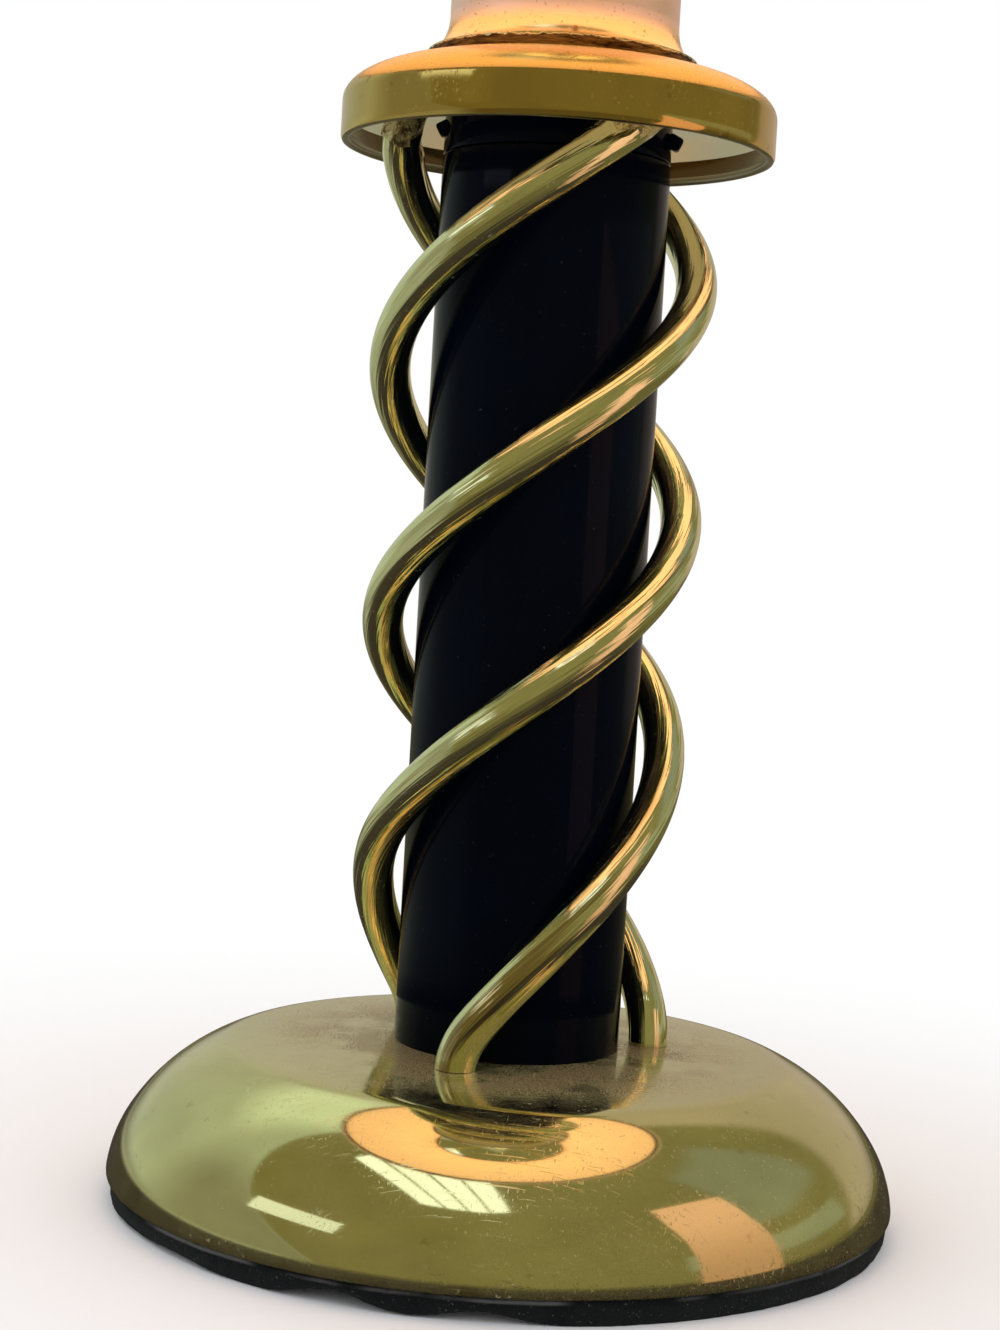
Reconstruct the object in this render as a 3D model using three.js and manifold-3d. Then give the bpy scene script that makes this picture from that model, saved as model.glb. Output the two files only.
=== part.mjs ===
// Table lamp with a domed brass base on a felt pad, a black tube column caged by three twisted
// brass rods, a brass disc and neck, a lamp socket with a turn switch, a harp and a shade.
// Millimetres, +Z up, origin on the table under the middle of the column. The front is -Y.
import * as THREE from "three";
import { mergeVertices } from "three/addons/utils/BufferGeometryUtils.js";
import Module from "manifold-3d";

const wasm = await Module();
wasm.setup();

// Clearances
const seatGap = 0.3; // between faces that rest on each other
const boreGap = 0.4; // around whatever passes through a bore

// Facets round a turned piece
const wideSides = 36;
const middleSides = 24;
const smallSides = 12;

// Felt pad and base
const baseRadius = 88.3; // at its widest, just above the felt
const baseLip = 1.3; // height of the turned-in edge under the widest circle
const baseShoulderHeight = 29.4;
const baseShoulderRun = 36; // how far the shoulder reaches in from the widest circle
const baseShoulderPower = 1.85; // 2 is an ellipse, less is flatter
const baseCrownRise = 1.3;
const baseWall = 1.5;
const feltInset = 1.3;
const feltThickness = 5;

// Weight under the base, held by a washer and a nut in a recess
const weightRim = 8; // space round the weight
const weightThickness = 15;
const weightHubRadius = 22;
const weightRecessRadius = 18;
const weightRecessDepth = 6;
const bottomWasherRadius = 15;
const bottomWasherThickness = 1.3;
const bottomNutWidth = 14; // across the flats
const bottomNutHeight = 3.8;

// Lead inlet at the back of the base
const inletTurn = 17; // degrees up the shoulder curve
const inletBore = 3.2;
const inletWall = 2;
const inletFlange = 2.6; // how far the flange stands out beyond the barrel
const inletFlangeThickness = 2;
const inletGrip = 1.2; // from the inside of the wall to the barrel's collar

// Threaded pipe through the lamp
const pipeRadius = 4.95;
const pipeBore = 3.2;

// Column
const columnRadius = 25.4;
const columnWall = 1.5;
const columnLength = 197.3;
const plugDepth = 6;
const capFlangeOverhang = 1.5;
const capFlangeThickness = 3.5;
const capBossRadius = 14;

// Twisted rods
const rodCount = 3;
const rodRadius = 4.57;
const rodGap = 3.1; // between a rod and the column
const rodFirstAngle = -14.6; // degrees from the front, towards the right
const rodPitch = 163.6; // height of a full turn on the steady part
const rodFootPitch = 450; // the same at the foot, where the rod stands steeper
const rodFootBend = 50; // height over which the foot eases into the steady twist
const rodSteps = 44;
const rodSectionSides = 8;
const spigotRadius = 2.5;
const spigotReach = 8; // below the base's crown
const rodNutWidth = 8;
const rodNutHeight = 4;

// Disc over the column
const discOverhang = 10.6; // beyond the rods
const discSkirt = 8.8;
const discShoulder = 9.4;
const discWall = 1.3;
const discLip = 0.6; // how far the rolled edge stands in beyond the wall
const discHeadroom = 18.2; // from the column's end to the disc's ceiling

// Neck
const neckRadius = 25.4;
const neckWall = 1.5;
const neckFootOverhang = 4;
const neckFootLip = 2;
const neckFlare = 7.2;
const neckStraight = 28;
const neckCapOverhang = 0.8;
const neckCapFlange = 3;
const neckCapDome = 4;
const neckCapBossRadius = 9;

// Lock nut and saddle
const lockNutWidth = 16;
const lockNutHeight = 4;
const saddleThickness = 1.2;
const saddleWidth = 13;
const saddleShoulder = 6.7;
const saddleTipHeight = 17;
const saddleTipWidth = 3;

// Socket
const bellRadius = 17.9;
const bellWall = 0.8;
const bellHubRadius = 8.5;
const bellHubHeight = 5;
const bellBowl = 10;
const bellRim = 6;
const shellWall = 0.6;
const shellHeight = 38;
const shellBead = 0.5;
const linerWall = 0.7;
const socketBodyHeight = 18;
const socketBodyDrop = 3; // below the top of the bell's bowl
const screwShellRadius = 14;
const screwShellWall = 0.6;
const screwShellHeight = 23.5;
const contactRadius = 3.5;
const contactThickness = 1.2;

// Turn switch
const switchClear = 1.6; // from the bell's rim to the stem
const switchStemRadius = 2.2;
const switchStemDepth = 5; // inside the socket's body
const switchKnobRadius = 6;
const switchKnobLength = 14;
const switchKnobStandOff = 3;

// Bulb
const bulbRadius = 30;
const bulbGlassHeight = 88;
const bulbNeckRadius = 13.4;
const bulbGlassWall = 1;
const bulbCapRadius = 13;
const bulbCapHeight = 20;
const bulbCapCone = 4.5;
const bulbTipRadius = 3.2;
const bulbTipHeight = 1.6;

// Harp and its sleeves
const wireRadius = 1.6;
const harpHeight = 200;
const harpHalfWidth = 54;
const harpLegHeight = 38;
const sleeveWall = 0.7;
const sleeveRoom = 3.3; // inner radius
const sleeveLength = 16;
const sleeveClear = 1; // between a sleeve and the socket's bell
const harpPadRadius = 7;
const harpPadThickness = 3.6;

// Swivel stud and finial
const studPinRadius = 2.2;
const studHeadRadius = 4.2;
const studHeadThickness = 1.2;
const studCollarRadius = 6;
const studCollarThickness = 2;
const studThreadRadius = 3;
const studThreadHeight = 13;
const finialBaseRadius = 6;
const finialNeckRadius = 4.6;
const finialBallRadius = 7;
const finialSkirt = 13.5;

// Shade
const shadeBottomRadius = 165;
const shadeTopRadius = 100;
const shadeHeight = 210;
const shadeThickness = 1.2;
const shadeDrop = 12; // the spider's washer lies this far below the top ring
const shadeRingWire = 1.8;
const shadeRingInset = 3; // from the shade's edge to the middle of the wire
const shadeRingEase = 0.4; // room for the wall's slope and flat facets
const spiderWasherRadius = 9;
const spiderWasherThickness = 1.6;
const spiderArmRadius = 1.7;
const spiderArms = 3;
const trimHeight = 9;
const trimThickness = 0.5;

// Levels up the stack, each standing on the one below
const baseBottom = feltThickness + seatGap;
const baseWidest = baseBottom + baseLip;
const shoulderTop = baseWidest + baseShoulderHeight;
const crownRadius = baseRadius - baseShoulderRun;
const crownTop = shoulderTop + baseCrownRise;
const columnInner = columnRadius - columnWall;
const columnBottom = crownHeight(columnInner) + seatGap;
const columnTop = columnBottom + columnLength;
const capFlangeBottom = columnTop + seatGap;
const discCeiling = columnTop + discHeadroom + 2 * seatGap;
const discTop = discCeiling + discWall;
const discShoulderBase = discTop - discShoulder;
const discRim = discShoulderBase - discSkirt;
const neckBottom = discTop + seatGap;
const neckFootTop = neckBottom + neckFootLip;
const neckFlareTop = neckFootTop + neckFlare;
const neckTop = neckFlareTop + neckStraight;
const neckCapTop = neckTop + seatGap + neckCapFlange + neckCapDome;
const lockNutBottom = neckCapTop + seatGap;
const saddleBottom = lockNutBottom + lockNutHeight + seatGap;
const socketBottom = saddleBottom + saddleThickness + seatGap;
const bellBowlTop = socketBottom + bellHubHeight + bellBowl;
const shellBottom = bellBowlTop + seatGap;
const shellRadius = bellRadius - bellWall - seatGap;
const linerRadius = shellRadius - shellWall - seatGap;
const socketBodyRadius = screwShellRadius + seatGap;
const socketBodyBottom = bellBowlTop - socketBodyDrop;
const socketBodyTop = socketBodyBottom + socketBodyHeight;
const screwShellBottom = socketBodyTop + seatGap;
const bulbTipBottom = screwShellBottom + contactThickness + seatGap;
const bulbCapBottom = bulbTipBottom + bulbTipHeight + seatGap;
const bulbGlassBottom = bulbCapBottom + bulbCapHeight + seatGap;
const switchAxis = bellBowlTop + bellRim + switchClear + switchStemRadius;
const helixRadius = columnRadius + rodGap + rodRadius;
const discRadius = helixRadius + rodRadius + discOverhang;
const neckFootRadius = neckRadius + neckFootOverhang;
const sleeveRadius = sleeveRoom + sleeveWall;
const sleeveAxis = bellRadius + sleeveClear + sleeveRadius;
const sleeveBottom = saddleBottom + saddleShoulder + seatGap;
const legAxis = sleeveAxis + sleeveRoom - wireRadius - 2 * boreGap;
const saddleTipInner = sleeveAxis - sleeveRoom + 2 * boreGap;
const harpTop = saddleBottom + harpHeight;
const studCollarBottom = harpTop + harpPadThickness / 2 + seatGap;
const studCollarTop = studCollarBottom + studCollarThickness;
const spiderBottom = studCollarTop + seatGap;
const finialBottom = spiderBottom + spiderWasherThickness + seatGap;
const shadeTop = spiderBottom + shadeDrop + shadeRingInset;
const shadeBottom = shadeTop - shadeHeight;
const pipeClear = pipeRadius + boreGap;
const pipeTop = socketBottom + bellHubHeight - seatGap;
const weightBottom = baseBottom + seatGap;
const weightRecessTop = weightBottom + weightRecessDepth;
const bottomWasherBottom = weightRecessTop - seatGap - bottomWasherThickness;
const bottomNutBottom = bottomWasherBottom - seatGap - bottomNutHeight;
const rodFoot = crownHeight(helixRadius - rodRadius) + seatGap;
const rodTop = discUndersideAt(helixRadius + rodRadius) - seatGap;
const rodIndexes = Array.from({ length: rodCount }, (_, i) => i);
const switchBoreRadius = switchStemRadius + 2 * boreGap;
const switchStemInner = socketBodyRadius - switchStemDepth;
const knobInner = bellRadius + switchKnobStandOff;
const knobOuter = knobInner + switchKnobLength;
const switchStemOuter = knobInner + switchKnobLength / 2;
const harpPadBottom = harpTop - harpPadThickness / 2;
const harpPadTop = harpTop + harpPadThickness / 2;
const topRingHeight = shadeTop - shadeRingInset;
const bottomRingHeight = shadeBottom + shadeRingInset;
const shadeRingDepth = shadeThickness + seatGap + shadeRingWire + shadeRingEase;

// Height of the base's nearly flat crown at a distance from the axis
function crownHeight(radius) {
  return crownTop - baseCrownRise * (radius / crownRadius) ** 2;
}

// A point of the base's shoulder curve, 0 degrees at the widest circle and 90 at the crown
function shoulderPoint(degrees, wall) {
  const turn = THREE.MathUtils.degToRad(degrees);
  const power = 2 / baseShoulderPower;
  const across = Math.max(Math.cos(turn), 0) ** power;
  const up = Math.max(Math.sin(turn), 0) ** power;
  return [
    crownRadius + (baseShoulderRun - wall) * across,
    baseWidest + (baseShoulderHeight - wall) * up,
  ];
}

// Outside of the shade's cone, or its inside when a depth is given
function shadeRadiusAt(height, depth = 0) {
  const share = (height - shadeBottom) / shadeHeight;
  return THREE.MathUtils.lerp(shadeBottomRadius, shadeTopRadius, share) - depth;
}

// Points of a quarter ellipse from the start angle to the end angle, in degrees
function arcPoints(middle, radii, start, end, steps) {
  return Array.from({ length: steps + 1 }, (_, i) => {
    const turn = THREE.MathUtils.degToRad(start + ((end - start) * i) / steps);
    return [
      middle[0] + radii[0] * Math.cos(turn),
      middle[1] + radii[1] * Math.sin(turn),
    ];
  });
}

// Materials, one new one for each piece
function material(color, roughness, metalness, extra = {}) {
  return () =>
    new THREE.MeshStandardMaterial({ color, roughness, metalness, ...extra });
}
const brass = material(0xc9a24a, 0.15, 1);
const blackLacquer = material(0x05070a, 0.1, 0);
const blackPlastic = material(0x101010, 0.4, 0);
const felt = material(0x0b0d0c, 1, 0);
const castIron = material(0x3a3a3c, 0.7, 0.8);
const steel = material(0xb5b5b2, 0.35, 1);
const phenolic = material(0x1b1614, 0.5, 0);
const cardboard = material(0x8a7350, 0.9, 0);
const glass = material(0xf4f1e6, 0.2, 0, { transparent: true, opacity: 0.6 });
const shadeCloth = material(0xeadcc2, 0.9, 0, { side: THREE.DoubleSide });
const shadeTape = material(0xd9c7a4, 0.9, 0);

const lamp = new THREE.Group();
const shadeGroup = new THREE.Group();
lamp.add(shadeGroup);

function addPiece(name, geometry, makeMaterial, group = lamp) {
  const mesh = new THREE.Mesh(geometry, makeMaterial());
  mesh.name = name;
  group.add(mesh);
}

// A turned solid. The outline is a list of [radius, height] points, in either direction round.
// It closes on itself unless it starts and ends on the axis.
function turned(outline, sides) {
  const area = outline.reduce((sum, [r, z], i) => {
    const [nextR, nextZ] = outline[(i + 1) % outline.length];
    return sum + r * nextZ - nextR * z;
  }, 0);
  const points = area > 0 ? [...outline] : [...outline].reverse();
  if (points[0][0] > 0) points.push(points[0]);
  const profile = points.map(([r, z]) => new THREE.Vector2(r, z));
  return new THREE.LatheGeometry(profile, sides).rotateX(Math.PI / 2);
}

// A ring or tube with square edges
function tube(inner, outer, bottom, top, sides) {
  return turned(
    [
      [inner, bottom],
      [outer, bottom],
      [outer, top],
      [inner, top],
    ],
    sides,
  );
}

// A round bar along Z
function bar(radius, bottom, top, sides) {
  return turned(
    [
      [0, bottom],
      [radius, bottom],
      [radius, top],
      [0, top],
    ],
    sides,
  );
}

// A box given by its two opposite corners
function box(low, high) {
  const size = high.map((v, i) => v - low[i]);
  const middle = high.map((v, i) => (v + low[i]) / 2);
  return new THREE.BoxGeometry(...size).translate(...middle);
}

// A hexagonal nut with a round bore
function nut(width, bore, bottom, height) {
  const outline = new THREE.Shape();
  const corner = width / Math.sqrt(3);
  for (let i = 0; i < 6; i += 1) {
    const turn = (i * Math.PI) / 3;
    const point = [corner * Math.cos(turn), corner * Math.sin(turn)];
    if (i === 0) outline.moveTo(...point);
    else outline.lineTo(...point);
  }
  outline.holes.push(
    new THREE.Path().absarc(0, 0, bore, 0, 2 * Math.PI, true),
  );
  return new THREE.ExtrudeGeometry(outline, {
    depth: height,
    bevelEnabled: false,
    curveSegments: 12,
  }).translate(0, 0, bottom);
}

// A round bar along a curve
function swept(curve, radius, steps, sides) {
  const section = new THREE.Shape(
    Array.from({ length: sides }, (_, i) => {
      const turn = (2 * Math.PI * i) / sides;
      return new THREE.Vector2(
        radius * Math.cos(turn),
        radius * Math.sin(turn),
      );
    }),
  );
  return new THREE.ExtrudeGeometry(section, {
    steps,
    extrudePath: curve,
    bevelEnabled: false,
  });
}

// Joining and cutting
function toSolid(geometry) {
  const bare = geometry.clone();
  bare.deleteAttribute("normal");
  bare.deleteAttribute("uv");
  const merged = mergeVertices(bare, 1e-4);
  return new wasm.Manifold(
    new wasm.Mesh({
      numProp: 3,
      vertProperties: merged.attributes.position.array,
      triVerts: new Uint32Array(merged.index.array),
    }),
  );
}

function toGeometry(solid) {
  const mesh = solid.getMesh();
  const geometry = new THREE.BufferGeometry();
  const positions = new THREE.BufferAttribute(mesh.vertProperties, 3);
  geometry.setAttribute("position", positions);
  geometry.setIndex(new THREE.BufferAttribute(mesh.triVerts, 1));
  return geometry;
}

function joined(...pieces) {
  return toGeometry(
    pieces.map(toSolid).reduce((whole, piece) => whole.add(piece)),
  );
}

function cut(body, ...tools) {
  return toGeometry(
    tools
      .map(toSolid)
      .reduce((left, tool) => left.subtract(tool), toSolid(body)),
  );
}

function kept(body, space) {
  return toGeometry(toSolid(body).intersect(toSolid(space)));
}

// Angle of a rod round the column at a height above its foot, in radians
function rodAngle(height, index) {
  const start = THREE.MathUtils.degToRad(
    rodFirstAngle + (360 / rodCount) * index,
  );
  const footRate = (2 * Math.PI) / rodFootPitch;
  const steadyRate = (2 * Math.PI) / rodPitch;
  const bent = Math.min(height, rodFootBend);
  const gained = ((steadyRate - footRate) * bent * bent) / (2 * rodFootBend);
  const steady = steadyRate * Math.max(height - rodFootBend, 0);
  return start + footRate * bent + gained + steady;
}

function rodPoint(height, index) {
  const turn = rodAngle(height, index);
  return new THREE.Vector3(
    helixRadius * Math.sin(turn),
    -helixRadius * Math.cos(turn),
    rodFoot + height,
  );
}

// Underside of the disc at a distance from the axis
function discUndersideAt(radius) {
  const run = discRadius - discWall - neckFootRadius;
  const share = THREE.MathUtils.clamp((radius - neckFootRadius) / run, 0, 1);
  const drop = (discShoulder - discWall) * (1 - Math.sqrt(1 - share * share));
  return discCeiling - drop;
}

class RodCurve extends THREE.Curve {
  constructor(index, from, to) {
    super();
    this.index = index;
    this.from = from;
    this.to = to;
  }

  getPoint(share) {
    const height = THREE.MathUtils.lerp(this.from, this.to, share);
    return rodPoint(height, this.index);
  }
}

// Felt pad and base
function feltPad() {
  const edge = baseRadius - feltInset;
  return turned(
    [
      [0, 0],
      [edge - 0.4, 0],
      [edge, 0.6],
      [edge, feltThickness - 0.5],
      [edge - 0.4, feltThickness],
      [0, feltThickness],
    ],
    wideSides,
  );
}

function baseDome() {
  const outerTurns = [0, 12, 25, 40, 56, 73, 90];
  const innerTurns = [90, 60, 30, 0];
  const shell = turned(
    [
      [baseRadius - baseLip - 0.3, baseBottom],
      [baseRadius - 0.3 * baseLip, baseBottom + 0.3 * baseLip],
      ...outerTurns.map((turn) => shoulderPoint(turn, 0)),
      [0.7 * crownRadius, crownHeight(0.7 * crownRadius)],
      [pipeClear, crownHeight(pipeClear)],
      [pipeClear, crownHeight(pipeClear) - baseWall],
      [0.6 * crownRadius, crownHeight(0.6 * crownRadius) - baseWall],
      ...innerTurns.map((turn) => shoulderPoint(turn, baseWall)),
      [baseRadius - baseWall - baseLip, baseBottom],
    ],
    wideSides,
  );
  const holes = rodIndexes.map((index) => {
    const foot = rodPoint(0, index);
    const hole = bar(
      spigotRadius + boreGap,
      crownTop - 4 * baseWall,
      crownTop + 4 * baseWall,
      smallSides,
    );
    return hole.translate(foot.x, foot.y, 0);
  });
  const inletHole = bar(
    inletBore + inletWall + boreGap,
    -4 * baseWall,
    4 * baseWall,
    smallSides,
  );
  return cut(shell, ...holes, atInlet(inletHole));
}

function baseWeight() {
  const top = weightBottom + weightThickness;
  const hubTop = crownHeight(weightHubRadius) - baseWall - seatGap;
  const radius = baseRadius - baseWall - weightRim;
  return turned(
    [
      [weightRecessRadius, weightBottom],
      [radius - 1, weightBottom],
      [radius, weightBottom + 1],
      [radius, top - 3],
      [radius - 3, top],
      [weightHubRadius + 3, top],
      [weightHubRadius, top + 3],
      [weightHubRadius, hubTop],
      [pipeClear, hubTop],
      [pipeClear, weightRecessTop],
      [weightRecessRadius, weightRecessTop],
    ],
    wideSides,
  );
}

// Puts a piece made round the Z axis at the lead inlet, its Z axis along the surface normal
function atInlet(geometry) {
  const [radius, height] = shoulderPoint(inletTurn, 0);
  const [lowR, lowZ] = shoulderPoint(inletTurn - 2, 0);
  const [highR, highZ] = shoulderPoint(inletTurn + 2, 0);
  const normal = new THREE.Vector3(0, highZ - lowZ, lowR - highR).normalize();
  const facing = new THREE.Quaternion().setFromUnitVectors(
    new THREE.Vector3(0, 0, 1),
    normal,
  );
  return geometry.applyQuaternion(facing).translate(0, radius, height);
}

function leadInlet() {
  const barrel = inletBore + inletWall;
  const inside = -baseWall - inletGrip;
  return atInlet(
    turned(
      [
        [inletBore, inside - 3],
        [barrel, inside - 3],
        [barrel + 1, inside - 1],
        [barrel, inside],
        [barrel, seatGap],
        [barrel + inletFlange, seatGap],
        [barrel + inletFlange, seatGap + 0.6 * inletFlangeThickness],
        [barrel + 0.4 * inletFlange, seatGap + inletFlangeThickness],
        [inletBore, seatGap + inletFlangeThickness],
      ],
      smallSides,
    ),
  );
}

// Column and the pipe inside it
function columnBottomPlug() {
  const bottom = crownTop + seatGap;
  const outer = columnInner - seatGap;
  return tube(pipeClear, outer, bottom, bottom + plugDepth, wideSides);
}

function columnTopCap() {
  const plug = columnInner - seatGap;
  const flange = columnRadius + capFlangeOverhang;
  const flangeTop = capFlangeBottom + capFlangeThickness;
  return turned(
    [
      [pipeClear, capFlangeBottom - plugDepth],
      [plug, capFlangeBottom - plugDepth],
      [plug, capFlangeBottom],
      [flange, capFlangeBottom],
      [flange, flangeTop - 0.5],
      [flange - 0.5, flangeTop],
      [capBossRadius, flangeTop],
      [capBossRadius, discCeiling - seatGap],
      [pipeClear, discCeiling - seatGap],
    ],
    wideSides,
  );
}

// Twisted rods
function twistRod(index) {
  const spill = 2 * rodRadius;
  const curve = new RodCurve(index, -spill, rodTop - rodFoot + spill);
  const whole = swept(curve, rodRadius, rodSteps, rodSectionSides);
  const space = bar(2 * discRadius, rodFoot, rodTop, smallSides);
  const foot = rodPoint(0, index);
  const spigot = bar(
    spigotRadius,
    crownTop - spigotReach,
    rodFoot + rodRadius,
    smallSides,
  ).translate(foot.x, foot.y, 0);
  return joined(kept(whole, space), spigot);
}

function rodNut(index) {
  const foot = rodPoint(0, index);
  const top = crownHeight(helixRadius + rodRadius) - baseWall - seatGap;
  return nut(
    rodNutWidth,
    spigotRadius + boreGap,
    top - rodNutHeight,
    rodNutHeight,
  ).translate(foot.x, foot.y, 0);
}

// Disc over the column: a shallow inverted cup with a rolled edge
function topDisc() {
  const shoulderMiddle = [neckFootRadius, discShoulderBase];
  const run = discRadius - neckFootRadius;
  const outer = arcPoints(shoulderMiddle, [run, discShoulder], 0, 90, 5);
  const inner = arcPoints(
    shoulderMiddle,
    [run - discWall, discShoulder - discWall],
    90,
    0,
    4,
  );
  const lipIn = discRadius - discWall - discLip;
  return turned(
    [
      [lipIn, discRim + 0.5],
      [lipIn + 0.5, discRim],
      [discRadius - 0.5, discRim],
      [discRadius, discRim + 0.5],
      ...outer,
      [pipeClear, discTop],
      [pipeClear, discCeiling],
      ...inner,
      [discRadius - discWall, discRim + 2.2],
      [lipIn, discRim + 1.5],
    ],
    wideSides,
  );
}

// Neck and its cap
function neck() {
  const flare = Array.from({ length: 5 }, (_, i) => {
    const turn = (i / 4) * (Math.PI / 2);
    return [
      neckRadius + neckFootOverhang * (1 - Math.sin(turn)),
      neckFootTop + neckFlare * (1 - Math.cos(turn)),
    ];
  });
  return turned(
    [
      [neckRadius - neckWall, neckBottom],
      [neckFootRadius, neckBottom],
      ...flare,
      [neckRadius, neckTop],
      [neckRadius - neckWall, neckTop],
    ],
    wideSides,
  );
}

function neckCap() {
  const plug = neckRadius - neckWall - seatGap;
  const bottom = neckTop + seatGap;
  const edge = neckRadius + neckCapOverhang;
  const flangeTop = bottom + neckCapFlange;
  const dome = arcPoints(
    [neckCapBossRadius, flangeTop],
    [edge - 1 - neckCapBossRadius, neckCapDome],
    0,
    90,
    3,
  );
  return turned(
    [
      [pipeClear, neckTop - plugDepth],
      [plug, neckTop - plugDepth],
      [plug, bottom],
      [edge - 0.6, bottom],
      [edge, bottom + 0.8],
      [edge, flangeTop - 0.8],
      [edge - 0.6, flangeTop],
      ...dome,
      [pipeClear, neckCapTop],
    ],
    wideSides,
  );
}

// Saddle that carries the harp
function harpSaddle() {
  const half = saddleWidth / 2;
  const tipHalf = saddleTipWidth / 2;
  const inner = saddleTipInner;
  const outer = inner + saddleThickness;
  const strip = box(
    [-outer, -half, saddleBottom],
    [outer, half, saddleBottom + saddleThickness],
  );
  const arms = [-1, 1].flatMap((side) => {
    const low = Math.min(side * inner, side * outer);
    const high = Math.max(side * inner, side * outer);
    return [
      box(
        [low, -half, saddleBottom],
        [high, half, saddleBottom + saddleShoulder],
      ),
      box(
        [low, -tipHalf, saddleBottom],
        [high, tipHalf, saddleBottom + saddleTipHeight],
      ),
    ];
  });
  const hole = bar(pipeClear, saddleBottom - 1, saddleBottom + 3, smallSides);
  return cut(joined(strip, ...arms), hole);
}

// Socket
function socketBell() {
  const hubTop = socketBottom + bellHubHeight;
  const rimTop = bellBowlTop + bellRim;
  const bowl = (wall, steps) =>
    Array.from({ length: steps + 1 }, (_, i) => {
      const turn = (i / steps) * (Math.PI / 2);
      const run = bellRadius - bellHubRadius;
      return [
        bellHubRadius - wall + run * Math.sin(turn),
        hubTop + wall + (bellBowl - wall) * (1 - Math.cos(turn)),
      ];
    });
  return turned(
    [
      [pipeClear, socketBottom],
      [bellHubRadius, socketBottom],
      ...bowl(0, 4),
      [bellRadius, rimTop],
      [bellRadius - bellWall, rimTop],
      ...bowl(bellWall, 4).reverse(),
      [pipeClear, hubTop + bellWall],
    ],
    middleSides,
  );
}

// Lays a piece made round the Z axis along the switch's axis, which points to the front
function alongSwitch(geometry) {
  return geometry.rotateX(Math.PI / 2).translate(0, 0, switchAxis);
}

function switchBore(radius, inner) {
  return alongSwitch(bar(radius, inner, 2 * bellRadius, smallSides));
}

function socketShell() {
  const top = shellBottom + shellHeight;
  const shell = turned(
    [
      [shellRadius - shellWall, shellBottom],
      [shellRadius, shellBottom],
      [shellRadius, top - 3],
      [shellRadius + shellBead, top - 2],
      [shellRadius, top - 1],
      [shellRadius, top],
      [shellRadius - shellWall, top],
    ],
    middleSides,
  );
  return cut(shell, switchBore(switchBoreRadius, 0));
}

function socketLiner() {
  const top = shellBottom + shellHeight - 1;
  const liner = tube(
    linerRadius - linerWall,
    linerRadius,
    shellBottom,
    top,
    middleSides,
  );
  return cut(liner, switchBore(switchBoreRadius, 0));
}

function socketBody() {
  const body = bar(
    socketBodyRadius,
    socketBodyBottom,
    socketBodyTop,
    middleSides,
  );
  const stemHole = switchBore(
    switchStemRadius + boreGap,
    switchStemInner - seatGap,
  );
  return cut(body, stemHole);
}

function screwShell() {
  const top = screwShellBottom + screwShellHeight;
  return tube(
    screwShellRadius - screwShellWall,
    screwShellRadius,
    screwShellBottom,
    top,
    middleSides,
  );
}

function centreContact() {
  const top = screwShellBottom + contactThickness;
  return bar(contactRadius, screwShellBottom, top, smallSides);
}

// Turn switch
function switchStem() {
  return alongSwitch(
    bar(switchStemRadius, switchStemInner, switchStemOuter, smallSides),
  );
}

function switchKnob() {
  const boreEnd = switchStemOuter + seatGap;
  const bore = switchStemRadius + boreGap;
  const knob = turned(
    [
      [bore, knobInner],
      [0.75 * switchKnobRadius, knobInner],
      [switchKnobRadius, knobInner + 2],
      [0.85 * switchKnobRadius, knobOuter - 1],
      [0.7 * switchKnobRadius, knobOuter],
      [0, knobOuter],
      [0, boreEnd],
      [bore, boreEnd],
    ],
    smallSides,
  );
  return alongSwitch(knob);
}

// Bulb
function bulbCap() {
  const top = bulbCapBottom + bulbCapHeight;
  return turned(
    [
      [0, bulbCapBottom],
      [bulbTipRadius + 1, bulbCapBottom],
      [bulbCapRadius, bulbCapBottom + bulbCapCone],
      [bulbCapRadius, top],
      [0, top],
    ],
    middleSides,
  );
}

function bulbGlass() {
  const ballMiddle = bulbGlassBottom + bulbGlassHeight - bulbRadius;
  const wall = (depth) => {
    const ball = arcPoints(
      [0, ballMiddle],
      [bulbRadius - depth, bulbRadius - depth],
      -25,
      90,
      7,
    );
    ball[ball.length - 1][0] = 0;
    return [
      [bulbNeckRadius - depth, bulbGlassBottom],
      [bulbNeckRadius - depth, bulbGlassBottom + 4],
      [0.66 * bulbRadius - depth, ballMiddle - 0.85 * bulbRadius],
      ...ball,
    ];
  };
  return turned([...wall(0).reverse(), ...wall(bulbGlassWall)], middleSides);
}

// Harp: a wire bow whose ends stand in the saddle's sleeves
function harpBow() {
  const legBottom = saddleBottom + saddleShoulder + 2;
  const legTop = saddleBottom + harpLegHeight;
  const side = [
    [legAxis, legBottom],
    [legAxis, (legBottom + legTop) / 2],
    [legAxis, legTop],
    [0.86 * harpHalfWidth, THREE.MathUtils.lerp(legTop, harpTop, 0.22)],
    [harpHalfWidth, THREE.MathUtils.lerp(legTop, harpTop, 0.5)],
    [0.9 * harpHalfWidth, THREE.MathUtils.lerp(legTop, harpTop, 0.75)],
    [0.55 * harpHalfWidth, THREE.MathUtils.lerp(legTop, harpTop, 0.95)],
    [harpPadRadius, harpTop],
  ];
  const points = [
    ...side.map(([x, z]) => new THREE.Vector3(x, 0, z)),
    ...side.map(([x, z]) => new THREE.Vector3(-x, 0, z)).reverse(),
  ];
  const wire = swept(new THREE.CatmullRomCurve3(points), wireRadius, 48, 6);
  const pad = bar(harpPadRadius, harpPadBottom, harpPadTop, smallSides);
  const hole = bar(
    studPinRadius + boreGap,
    harpPadBottom - 1,
    harpPadTop + 1,
    smallSides,
  );
  return cut(joined(wire, pad), hole);
}

function harpSleeve(side) {
  return tube(
    sleeveRoom,
    sleeveRadius,
    sleeveBottom,
    sleeveBottom + sleeveLength,
    smallSides,
  ).translate(side * sleeveAxis, 0, 0);
}

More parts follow.
